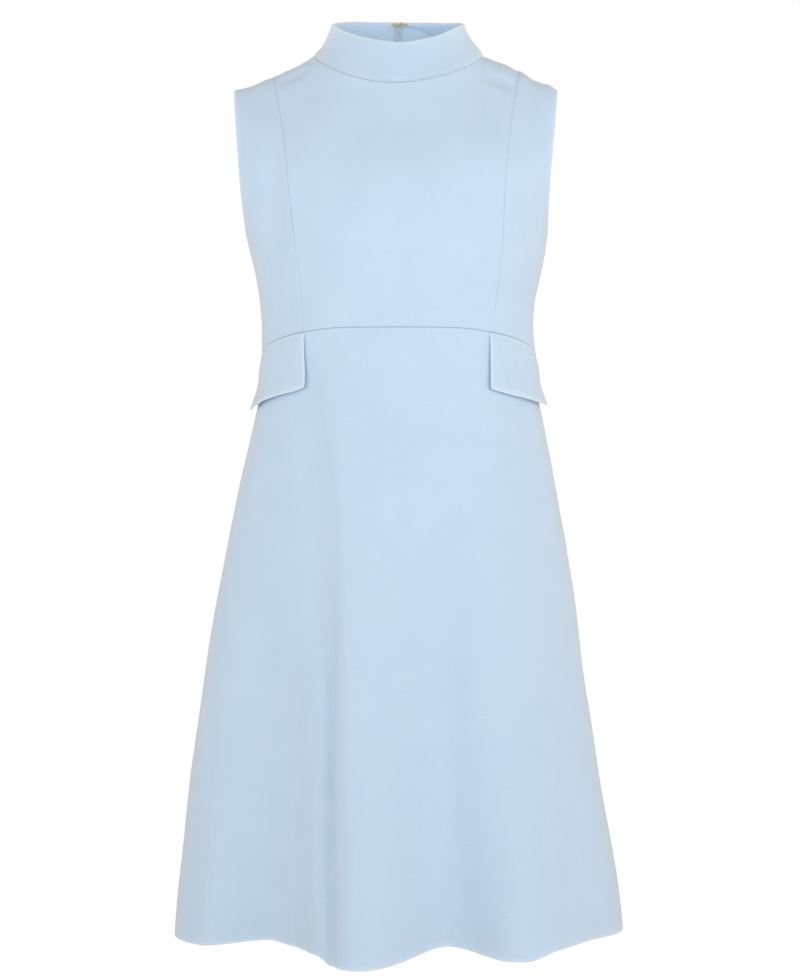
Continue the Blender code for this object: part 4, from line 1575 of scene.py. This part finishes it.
@dataclass
class PocketFlaps:
    """The two flaps that hang from the empire seam."""

    form: WornForm
    crepe: Material
    cuts: tuple[FlapCut, ...] = (
        FlapCut(
            "flap_left", -1, 94.4, 94.4, lift_outer=5,
            depth=((38, 57), (47, 59.9), (64, 60.4), (72, 60.9), (90, 57)),
        ),
        FlapCut(
            "flap_right", 1, 93.6, 91.5, lift_outer=6,
            depth=((37, 59.5), (48, 61.8), (66, 60.5), (78, 56.8), (90, 52)),
        ),
    )
    corner: float = 3.4
    gap: float = 0.8  # between the flap and the skirt
    tuck: float = -1.1  # how far the flap's top sinks into the seam
    tuck_reach: Pair = (0.1, 0.3)  # down to this share, at the inner and outer edge
    lift_growth: float = 1.5
    seam_gap: float = 0.3
    thickness: float = 2.0
    radius: float = 0.92
    waist_half_width: float = 142.4
    rows: Span = (0.035, 0.965, 32)
    columns: int = 60
    corner_columns: int = 9

    def grid(self, cut: FlapCut, inset: float) -> tuple[Array, Array]:
        """A grid on the flap's outer face.

        Args:
            cut: the flap's sizes.
            inset: how far inside the flap's edges the grid ends.

        Returns:
            The grid's points and normals, its columns going towards +X.
        """
        form = self.form
        width = self.waist_half_width
        corner = self.corner - inset
        near = corner * (1 - np.cos(np.linspace(0, math.pi / 2, self.corner_columns)))
        steps = joined(near, np.linspace(corner, width - 2 * inset, self.columns)[1:])
        across = (inset + steps) / width
        downs = joined(0, np.linspace(*self.rows), 1)[:, None]
        to_corner = np.maximum(corner - steps, 0)
        shorter = inset + corner - np.sqrt(corner**2 - to_corner**2)
        z = np.full((len(downs), len(across)), form.waist_z(45.0))
        down, full = downs + 0 * z, Table(cut.depth)
        for _ in range(6):  # the place depends on the flap's depth there
            inner = mix(cut.inner, cut.inner_below, down)
            angle = mix(form.angle_of(inner, z), cut.outer_angle, across)
            depth = full(angle)
            down = downs * (depth - shorter) / depth
            z = form.waist_z(angle) - self.seam_gap - down * depth
        lift = mix(cut.lift_inner, cut.lift_outer, across) * down**self.lift_growth
        clear = step_up(down / mix(*self.tuck_reach, across), 0.0, 1.0)
        tuck = mix(self.tuck, self.gap, clear)
        angle = cut.side * angle
        normals = form.facing(angle, z)
        points = form.face(angle, z) + normals * (lift + tuck + self.thickness)[..., None]
        return points[::-1, :: cut.side], normals[::-1, :: cut.side]

    def build(self) -> None:
        """Makes the two flaps."""
        for cut in self.cuts:
            points, normals = self.grid(cut, self.radius)
            reach = self.grid(cut, 0.0)[0]
            # painted shade along the top, tucked into the waist seam
            seam_shade = at_edges(points, {"top": 1.0})
            cloth = Cloth(points, reach, normals, self.thickness, self.radius, seam_shade=seam_shade)
            name, rests_on = cut.name + "_cloth", ["skirt_front"]
            sheet_of(name, cloth, self.crepe, CREPE_SLOT, cut.name)


@dataclass
class BackZip:
    """The zip at the centre back: two tapes, the closed coil, the slider and its pull."""

    form: WornForm
    collar: Collar
    tape: Material
    coil: Material
    metal: Material
    bottom: float = -472.0
    offset: float = 0.5  # between the tape and the cloth
    tape_thickness: float = 0.7
    tape_radius: float = 0.3
    tape_gap: float = 0.05
    tape_width: float = 12.0
    strip: float = 4.2  # the tape's width in the collar, whose inner layer covers the rest
    tape_columns: int = 10
    body_rows: int = 110
    collar_rows: int = 22
    tape_break: float = 4.0  # how far under the neck seam the tape's part on the backs ends
    tape_shares: Pair = (0.12, 0.96)  # of the collar's height, that it covers
    narrowing: float = 0.25  # the share of that in which it narrows
    line_end: float = 1.5  # how far under the neck seam the coil's part on the backs ends
    line_shares: Pair = (0.04, 0.97)
    line_steps: tuple[int, int] = (420, 34)
    coil_step: float = 1.35
    coil_half_width: float = 1.25
    coil_radius: float = 0.45
    coil_sides: int = 6
    coil_depth: float = 1.3
    rung: Rows = (  # across as a share of the half width, out, and along
        (-1, -1.0, 0.22), (-0.8, -0.25, 0.12), (0, 0.1, 0), (0.8, -0.25, -0.12), (1, -1.0, -0.22),
    )
    slider_middle: Point = (0.789, 56.376, 33.0)
    slider_size: Point = (3.6, 1.3, 8.0)
    arch_open: float = 1.55
    arch_bar: float = 0.8
    arch_half_length: float = 3.4
    arch_half_width: float = 0.62
    arch_foot: float = 0.4  # how far the arch sinks into the plate
    arch_steps: int = 15
    arch_rise: Pair = (1.0, 0.9)  # of its outer and inner line, to the crown
    arch_power: float = 0.6  # below 1 it is fuller than a half circle
    plate: Rows = (  # across and up, as shares of the plate's half sizes
        (-0.62, -1), (0.62, -1), (0.72, -0.35), (1, 0.25), (1, 0.85), (0.8, 1), (0.22, 0.82),
        (-0.22, 0.82), (-0.8, 1), (-1, 0.85), (-1, 0.25), (-0.72, -0.35),
    )
    slider_rounding: float = 0.22
    pull_axis_out: float = 0.75
    pull_half_thickness: float = 0.4
    pull_half_width: float = 2.1
    pull_neck: float = 1.9  # half the width of its neck
    pull_length: float = 17.0
    pull_bar: float = 0.45
    pull_rounding: float = 0.14
    slot_half_width: float = 1.1
    slot_end: float = 4.0
    slot_sides: int = 40
    slot_power: float = 0.45  # below 1 it is squarer than an ellipse
    frame_power: float = 0.4
    frame_flat: float = 0.9  # past this share of the way up, the frame's top is straight
    frame_foot: float = 1.4  # how far below the slot the frame round it ends
    drop_top: float = 0.9  # and where the drop starts
    drop_shoulder: float = 3.4
    shoulder_share: float = 0.92
    end_sides: int = 14
    sharp_degrees: float = 40.0
    rounded_degrees: float = 35.0
    rounding_steps: int = 3

    def middle_line(self) -> tuple[Array, Array]:
        """The centre back line on the outer faces, from the zip's end to the collar's top.

        Returns:
            Its points and their outward normals.
        """
        low, high = self.line_steps
        z = np.linspace(self.bottom, self.form.neck_back_rise - self.line_end, low)
        body, body_out = self.form.face(180.0, z), self.form.facing(180.0, z)
        heights = np.linspace(*self.line_shares, high)
        neck, neck_out = self.collar.point(180.0, heights), self.collar.facing(180.0, heights)
        return np.concatenate([body, neck]), np.concatenate([body_out, neck_out])

    def build_tapes(self) -> None:
        """Makes the two tapes, which follow the inside of the backs and the collar."""
        form, collar = self.form, self.collar
        shares = np.linspace(0, 1, self.tape_columns)
        z = np.linspace(self.bottom, form.neck_back_rise - self.tape_break, self.body_rows)[:, None]
        narrow = step_up(np.linspace(0, 1, self.collar_rows), 0, self.narrowing)
        wide = mix(self.tape_width, self.strip, narrow)[:, None]
        for name, side in (("zip_tape_left", -1), ("zip_tape_right", 1)):
            x = mix(self.tape_gap, self.tape_width, shares)
            angle = side * (180 - form.angle_of(x + 0 * z, z))
            normals = form.facing(angle, z)
            low = form.face(angle, z) - normals * (CREPE_THICKNESS + self.offset)
            x = mix(self.tape_gap, wide, shares)
            turn = side * (180 - np.degrees(np.arcsin(x / form.neck_half_width)))
            height = np.linspace(*self.tape_shares, self.collar_rows)[:, None] + 0 * x
            neck_normals = collar.facing(turn, height)
            high = collar.point(turn, height) - neck_normals * (collar.thickness + self.offset)
            reach = np.concatenate([low, high])[:, ::-side]
            normals = np.concatenate([normals, neck_normals])[:, ::-side]
            points = moved_in(reach, dict.fromkeys(LINES, self.tape_radius))
            cloth = Cloth(points, reach, normals, self.tape_thickness, self.tape_radius)
            sheet_of(name + "_woven", cloth, self.tape, "zip_tape", name)

    def build_coil(self) -> None:
        """Makes the closed coil as a ladder of rungs between the two fold edges."""
        line, out = self.middle_line()
        run = np.concatenate([[0], np.cumsum(np.linalg.norm(np.diff(line, axis=0), axis=1))])
        places = np.arange(self.coil_step, run[-1] - 1, self.coil_step)
        middle = np.stack([np.interp(places, run, line[:, k]) for k in range(3)], -1)
        outward = unit(np.stack([np.interp(places, run, out[:, k]) for k in range(3)], -1))
        along = unit(np.gradient(middle, axis=0))
        across = np.cross(along, outward)
        rung = np.array(self.rung) * (self.coil_half_width, 1, 1)
        parts = MeshParts()
        for place, *ways in zip(middle - outward * self.coil_depth, across, outward, along):
            parts.add(*tube(place + rung @ np.array(ways), self.coil_radius, self.coil_sides))
        dress_piece(parts.finish("zip_coil", self.coil), "zip_tape")

    def build_slider(self) -> None:
        """Makes the slider: a waisted plate, and over it the arch that the pull turns on."""
        x0, y0, z0 = self.slider_middle
        wide, deep, high = self.slider_size
        shape = bmesh.new()
        plate = [(x0 + a * wide / 2, z0 + b * high / 2) for a, b in self.plate]
        loft(shape, [[(x, y, z) for x, z in plate] for y in (y0, y0 + deep)])
        foot, top = y0 + deep - self.arch_foot, y0 + deep + self.arch_open + self.arch_bar
        turns = np.linspace(0, math.pi, self.arch_steps)
        lines = []
        for inset, rise in zip((0, self.arch_bar), self.arch_rise):
            crown, reach = top - inset, self.arch_half_length - inset
            fall = [rise * (1 - math.sin(t) ** self.arch_power) for t in turns]
            line = [(crown - down, -reach * math.cos(t)) for down, t in zip(fall, turns)]
            lines.append([(foot, -reach), *line, (foot, reach)])
        left, right = x0 - self.arch_half_width, x0 + self.arch_half_width
        rings = [
            [(left, *outer), (left, *inner), (right, *inner), (right, *outer)]
            for outer, inner in zip(*lines)
        ]
        loft(shape, [[(x, y, z0 + z) for x, y, z in ring] for ring in rings])
        self.cast(shape, "zip_slider", "dress", self.slider_rounding)

    def build_pull(self) -> None:
        """Makes the pull: a drop with a slot at its top, whose bar turns under the arch."""
        x0, y0, z0 = self.slider_middle
        y0 += self.slider_size[1] + self.pull_axis_out
        half, neck, bar, end = self.pull_half_width, self.pull_neck, self.pull_bar, self.slot_end
        near, far = y0 - self.pull_half_thickness, y0 + self.pull_half_thickness
        rings = []
        turns = np.linspace(0, 2 * math.pi, self.slot_sides, endpoint=False)
        ways = np.array([np.sin(turns), np.cos(turns)])
        outer, inner = powered(ways, self.frame_power), powered(ways, self.slot_power)
        for (a, b), (c, d) in zip(outer.T, inner.T):
            up = bar if b > self.frame_flat else mix(-end - self.frame_foot, bar, (b + 1) / 2)
            hole = (self.slot_half_width * c, mix(-end, -bar, (d + 1) / 2))
            flat = [(x0 + x, z0 + z) for x, z in ((neck * a, up), hole, hole, (neck * a, up))]
            rings.append([(x, y, z) for (x, z), y in zip(flat, (near, near, far, far))])
        shape = bmesh.new()
        loft(shape, rings, closed=True)
        bottom, shoulder = half - self.pull_length, self.shoulder_share * half
        top, low = -end - self.drop_top, -end - self.drop_shoulder
        drop = [(-neck, top), (neck, top), (shoulder, low)]
        turns = np.linspace(0, math.pi, self.end_sides + 1)
        drop += [(half * math.cos(t), bottom - half * math.sin(t)) for t in turns]
        drop.append((-shoulder, low))
        loft(shape, [[(x0 + x, y, z0 + z) for x, z in drop] for y in (near, far)])
        self.cast(shape, "zip_pull", "pull", self.pull_rounding)

    def cast(self, shape: bmesh.types.BMesh, node: str, body: str, rounding: float) -> None:
        """Turns a shape into a piece of plated metal with rounded edges.

        Args:
            shape: its mesh, which is freed.
            node: the CAD node that it stands for.
            body: the CAD body that it moves with.
            rounding: how wide its edges' rounding is.
        """
        bmesh.ops.recalc_face_normals(shape, faces=shape.faces)
        mesh = bpy.data.meshes.new(node + "_cast")
        shape.to_mesh(mesh)
        shape.free()
        mesh.shade_smooth()
        mesh.set_sharp_from_angle(angle=math.radians(self.sharp_degrees))
        piece = placed(node + "_cast", mesh, self.metal)
        bevel = piece.modifiers.new("tumbled_edges", "BEVEL")
        bevel.width = rounding * MM
        bevel.segments = self.rounding_steps
        bevel.limit_method = "ANGLE"
        bevel.angle_limit = math.radians(self.rounded_degrees)
        bevel.harden_normals = False
        dress_piece(piece, "gold_plated_brass", node, body=body)

    def build(self) -> None:
        """Makes the whole zip."""
        self.build_tapes()
        self.build_coil()
        self.build_slider()
        self.build_pull()


@dataclass
class HookAndEye:
    """The wire hook and eye at the top of the collar, with the threads that hold them."""

    metal: Material
    thread: Material
    wire: float = 0.46
    wire_sides: int = 12
    loop_steps: int = 40
    eye: Point = (3.6, 49.5, 43.4)
    eye_half: Pair = (3.5, 2.2)
    eye_foot: float = 7.2
    foot_half: float = 0.75
    hook_foot: float = 9.0
    hook_wire: float = 0.42
    hook_half: float = 0.8  # half the distance between the hook's two wires
    hook_gap: float = 0.12  # between the hook's wires and the eye's
    hook_bow: float = 0.2  # how far the wires spring
    bend_aside: float = 0.8
    bill_past: float = 2.0  # how far the bill goes past the eye
    bill_in: float = 0.05  # how far its very tip turns in
    heel_ring: float = 0.85
    heel_start: float = -400.0  # degrees; the wire's end laps over the ring
    thread_turns: int = 5
    thread_step: float = 0.34
    thread_slant: float = 0.12
    thread_out: float = 0.75
    thread_tuck: float = 0.1
    thread_steps: int = 12
    thread_sides: int = 6
    thread_past: float = 0.62  # how far it goes past the foot's wires
    thread_radius: float = 0.16
    thread_places: Pair = (1.4, 1.0)  # inwards from the ends of the eye and hook

    def build(self) -> None:
        """Makes the eye, the hook and their threads."""
        self.build_eye()
        self.build_hook()
        self.sew()

    def build_eye(self) -> None:
        """Makes the eye: a loop whose two ends meet in a narrow foot."""
        x, y, z = self.eye
        (wide, high), foot = self.eye_half, self.foot_half
        start = math.asin(foot / high)
        turns = (start, 2 * math.pi - start)
        loop = arc(self.eye, (wide, 0, 0), (0, 0, high), turns, self.loop_steps)
        middle, quarter = (x + self.eye_foot - foot, y, z), math.pi / 2
        end = arc(middle, (foot, 0, 0), (0, 0, foot), (-quarter, quarter), 9)
        parts = MeshParts()
        parts.add(*tube(np.concatenate([loop, end]), self.wire, self.wire_sides, closed=True))
        eye = parts.finish("collar_eye_wire", self.metal)
        dress_piece(eye, "gold_plated_brass", "collar_eye")

    def build_hook(self) -> None:
        """Makes the hook: a ring for each end, and two wires side by side bent back to the bill."""
        x, y, z = self.eye
        apart, ring, bow, quarter = self.hook_half, self.heel_ring, self.hook_bow, math.pi / 2
        bill = self.wire + self.hook_wire + self.hook_gap
        heel, bend = x - self.hook_foot + ring, x + self.bend_aside
        tip = x - self.eye_half[0] - self.bill_past
        turns = (math.radians(self.heel_start), -quarter)
        near, far = y - bill, y + bill
        middle = (heel, far - bow, apart + ring)
        path = [arc(middle, (ring, 0, 0), (0, 0, ring), turns, 22)]
        path.append([(mix(heel, bend, t), far - bow * (1 - t), apart) for t in (0.3, 0.6, 0.9)])
        path.append(arc((bend, y, apart), (bill, 0, 0), (0, bill, 0), (quarter, -quarter), 15))
        spring = [(t, bow * math.sin(math.pi * t)) for t in (0.25, 0.5, 0.75, 1)]
        path.append([(mix(bend, tip, t), near - rise, apart) for t, rise in spring])
        middle = (tip, near + self.bill_in, 0)
        path.append(arc(middle, (0, 0, apart), (-apart, 0, 0), (0, quarter), 6)[1:])
        upper = np.concatenate(path)
        both = np.concatenate([upper, upper[-2::-1] * (1, 1, -1)]) + (0, 0, z)
        parts = MeshParts()
        parts.add(*tube(both, self.hook_wire, self.wire_sides))
        hook = parts.finish("collar_hook_wire", self.metal)
        dress_piece(hook, "gold_plated_brass", "collar_hook")

    def sew(self) -> None:
        """Wraps thread over the feet of the hook and of the eye."""
        x, y, z = self.eye
        behind = y + self.wire + self.hook_wire - self.thread_tuck
        slant, high = self.thread_slant, self.foot_half + self.thread_past
        eye_inset, hook_inset = self.thread_places
        ends = ((x + self.eye_foot - eye_inset, y), (x - self.hook_foot + hook_inset, behind))
        whole, steps = (0, 2 * math.pi), self.thread_steps + 1
        parts = MeshParts()
        for end, depth in ends:
            for i in range(self.thread_turns):
                middle = (end + self.thread_step * (i - self.thread_turns // 2), depth, z)
                ring = arc(middle, (0, self.thread_out, 0), (slant, 0, high), whole, steps)[:-1]
                parts.add(*tube(ring, self.thread_radius, self.thread_sides, closed=True))
        dress_piece(parts.finish("fastening_threads", self.thread), "collar_crepe")


@dataclass
class HemStitches:
    """The blind stitches that hold the turned-up hem. They only show on the inside."""

    form: WornForm
    thread: Material
    number: int = 132
    turn_up: float = 32.0
    reach: float = 1.4  # how far above and below the turned-up edge a stitch goes
    slant: float = 0.45  # in degrees round the body
    below: float = 2.5  # how deep the inside is under the outer face, on the turn-up
    above: float = 1.7
    loop: float = 0.4  # how far a stitch stands off the cloth
    thread_radius: float = 0.2
    thread_sides: int = 6
    steps: int = 5
    first: float = -179.0  # the first stitch's angle

    def build(self) -> None:
        """Makes the stitches."""
        form, share = self.form, np.linspace(0, 1, self.steps)
        both = 2 * share - 1
        places = self.first + np.linspace(0, 360, self.number, endpoint=False)
        angles = places[:, None] + self.slant * both
        heights = form.hem_z(angles) + self.turn_up + self.reach * both
        deep = mix(self.below, self.above, share) + self.loop * np.sin(math.pi * share)
        lines = form.face(angles, heights) - form.facing(angles, heights) * deep[:, None]
        parts = MeshParts()
        for line in lines:
            parts.add(*tube(line, self.thread_radius, self.thread_sides))
        dress_piece(parts.finish("hem_stitches", self.thread), CREPE_SLOT)


@dataclass(frozen=True)
class Softbox:
    """A large soft light."""

    name: str
    place: Point
    size: float
    watts: float


@dataclass
class Studio:
    """The floor, the lights and the camera, in metres. They aren't part of the dress."""

    distance: float = 2.6
    level: float = -0.4526
    aside: float = 0.0026
    lens: float = 60.83
    sensor: float = 24.0  # the long side
    floor_level: float = -1.37
    floor_rings: tuple[float, ...] = (0.02, 0.3, 0.7, 1.1, 1.5, 1.8, 1.9)
    floor_sides: int = 96
    walls: float = 1.11  # how bright the walls are to the cloth, and the darker ceiling
    ceiling: float = 0.46
    wall_top: float = 0.05  # the upward part of the way to where the walls end
    ceiling_edge: float = 0.7  # and to where the ceiling is as dark as it gets
    lights: tuple[Softbox, ...] = (
        Softbox("softbox_left", (-2.2, -1.9, -0.15), 1.8, 9.2),
        Softbox("softbox_right", (2.2, -1.9, -0.15), 1.8, 16.1),
        Softbox("softbox_front", (0.0, -3.0, 0.5), 1.6, 5.1),
    )

    def build(self) -> None:
        """Sets up the studio."""
        scene = bpy.context.scene
        scene.view_settings.view_transform = "Standard"
        scene.view_settings.look = "None"
        self.build_walls()
        self.build_floor()
        for light in self.lights:
            self.build_light(light)
        camera = bpy.data.cameras.new("camera")
        camera.sensor_fit = "AUTO"
        camera.sensor_width = self.sensor
        camera.lens = self.lens
        holder = bpy.data.objects.new("camera", camera)
        holder.location = (self.aside, -self.distance, self.level)
        holder.rotation_euler = (math.pi / 2, 0, 0)
        scene.collection.objects.link(holder)
        scene.camera = holder

    def build_walls(self) -> None:
        """Surrounds the dress with bright white walls under a darker ceiling."""
        world = bpy.data.worlds.new("white_walls")
        world.use_nodes = True
        tree = world.node_tree
        way = add_node(tree, "TexCoord", out="Generated")
        spread = {
            "Value": add_node(tree, "SeparateXYZ", {0: way}, "Z"),
            "From Min": self.wall_top,
            "From Max": self.ceiling_edge,
            "To Min": self.walls,
            "To Max": self.ceiling,
        }
        lit = add_node(tree, "MapRange", spread, "Result")
        # what stands behind the dress is plain white paper, whatever lights the cloth
        seen = add_node(tree, "LightPath", out="Is Camera Ray")
        spread = {"Value": seen, "To Min": lit, "To Max": 1.0}
        strength = add_node(tree, "MapRange", spread, "Result")
        fill(tree, tree.nodes["Background"], {"Color": (1, 1, 1, 1), "Strength": strength})
        bpy.context.scene.world = world

    def build_floor(self) -> None:
        """Lays a round of paper where the wearer would stand."""
        sides, rings = self.floor_sides, self.floor_rings
        turns = np.linspace(0, 2 * math.pi, sides, endpoint=False)
        level = self.floor_level
        points = [(r * math.cos(t), r * math.sin(t), level) for r in rings for t in turns]
        faces = [tuple(range(sides))]
        for inner in range(0, (len(rings) - 1) * sides, sides):
            outer = inner + sides
            for i, k in enumerate([*range(1, sides), 0]):
                faces.append((inner + i, outer + i, outer + k, inner + k))
        mesh = bpy.data.meshes.new("floor")
        mesh.from_pydata(points, [], faces)
        floor = placed("floor", mesh, StudioPaper().material())

    def build_light(self, box: Softbox) -> None:
        """Hangs a soft light that faces the dress.

        Args:
            box: the light.
        """
        lamp = bpy.data.lights.new(box.name, "AREA")
        lamp.shape = "SQUARE"
        lamp.size = box.size
        lamp.energy = box.watts
        holder = bpy.data.objects.new(box.name, lamp)
        place = Vector(box.place)
        holder.location = place
        away = place - Vector((0, 0, self.level))
        holder.rotation_euler = away.to_track_quat("Z", "Y").to_euler()
        holder.visible_camera = False
        bpy.context.scene.collection.objects.link(holder)


CREASES = (
    # the long fold that starts at the left flap's inner corner and runs to the hem: its crest
    # above and below, and the hollow at its foot, soft at first and pinched lower down
    Crease(
        ((-340, -88, 0), (-396, -66, 3), (-465, -58, 5), (-560, -51, 5.5), (-662, -46, 0)),
        before=28, after=64,
    ),
    Crease(
        (
            (-520, -48, 0), (-584, -47, 5.5), (-662, -42, 9), (-740, -42, 9.5), (-818, -43, 9.5),
            (-886, -44, 9), (-950, -44, 8),
        ),
        before=24, after=76,
    ),
    Crease(
        (
            (-316, -92, 0), (-340, -91, -2.5), (-375, -88, -2.7), (-396, -82, -2.7),
            (-465, -74, -3.5), (-584, -66, -3.5), (-662, -64, 0),
        ),
        before=30, after=20,
    ),
    Crease(
        (
            (-550, -62, 0), (-620, -61.5, -5), (-740, -64.5, -7.5), (-818, -67, -7.5),
            (-886, -68.5, -7.5), (-950, -68.5, -6),
        ),
        before=19, after=13, profile=Profile.PINCHED,
    ),
    # the fold on the right, whose crest runs outwards to the hem, and the hollow before it
    Crease(
        (
            (-460, 92, 0), (-584, 93, 4), (-700, 94, 5.5), (-802, 98, 5), (-862, 106, 5),
            (-907, 112, 5), (-950, 116, 4),
        ),
        before=44, after=130,
    ),
    Crease(
        ((-480, 42, 0), (-580, 44, -4), (-660, 43, -4), (-760, 41, 0)),
        before=46, after=36,
    ),
    # the hollow between the left princess seam and the armhole
    Crease(
        ((-80, -124, 0), (-115, -125, -3), (-150, -125, -4.5), (-190, -124, -4), (-225, -121, 0)),
        before=15, after=17,
    ),
    # the back's own: drags over the waist, beside the shoulder blades, and folds of the skirt
    Crease(
        ((-96, -262, 0), (-48, -272, 1.6), (10, -276, 1.2), (62, -270, 1.9), (112, -258, 0)),
        before=13, after=22, run=Run.ACROSS, side=Side.BACK,
    ),
    Crease(
        ((-70, -118, 0), (-110, -124, 2.2), (-165, -126, 2.4), (-225, -118, 0)),
        before=20, after=26, side=Side.BACK,
    ),
    Crease(
        ((-84, 121, 0), (-130, 127, 2.4), (-190, 124, 1.8), (-240, 116, 0)),
        before=26, after=18, side=Side.BACK,
    ),
    Crease(
        ((-372, -64, 0), (-520, -73, 3.5), (-720, -80, 5), (-950, -88, 4)),
        before=52, after=26, side=Side.BACK,
    ),
    Crease(
        ((-400, 82, 0), (-560, 88, 3), (-760, 94, 4.5), (-950, 99, 4)),
        before=28, after=58, side=Side.BACK,
    ),
    # short drags under the shoulder seams
    Crease(
        ((86, -20, 0), (99, -25, -2.4), (111, -30, -3.2), (120, -35, -2.2), (128, -41, 0)),
        before=14, after=12, run=Run.ACROSS,
    ),
    Crease(
        ((-124, -34, 0), (-112, -26, -2.5), (-100, -21, -2), (-90, -18, 0)),
        before=9, after=8, run=Run.ACROSS,
    ),
)


def main() -> None:
    """Builds the dress and the studio round it."""
    logging.basicConfig(level=logging.INFO, format="%(name)s: %(message)s")
    Studio().build()
    form = WornForm(creases=CREASES)
    crepe = DoubleCrepe().material()
    Bodice(form, crepe).build()
    Skirt(form, crepe).build()
    collar = Collar(form, COLLAR_CREPE.material())
    collar.build()
    PocketFlaps(form, crepe).build()
    metal = GoldPlatedBrass().material()
    BackZip(form, collar, WovenTape().material(), ZIP_COIL.material(), metal).build()
    thread = SEWING_THREAD.material()
    HookAndEye(metal, thread).build()
    HemStitches(form, thread).build()


if __name__ == "__main__":
    main()
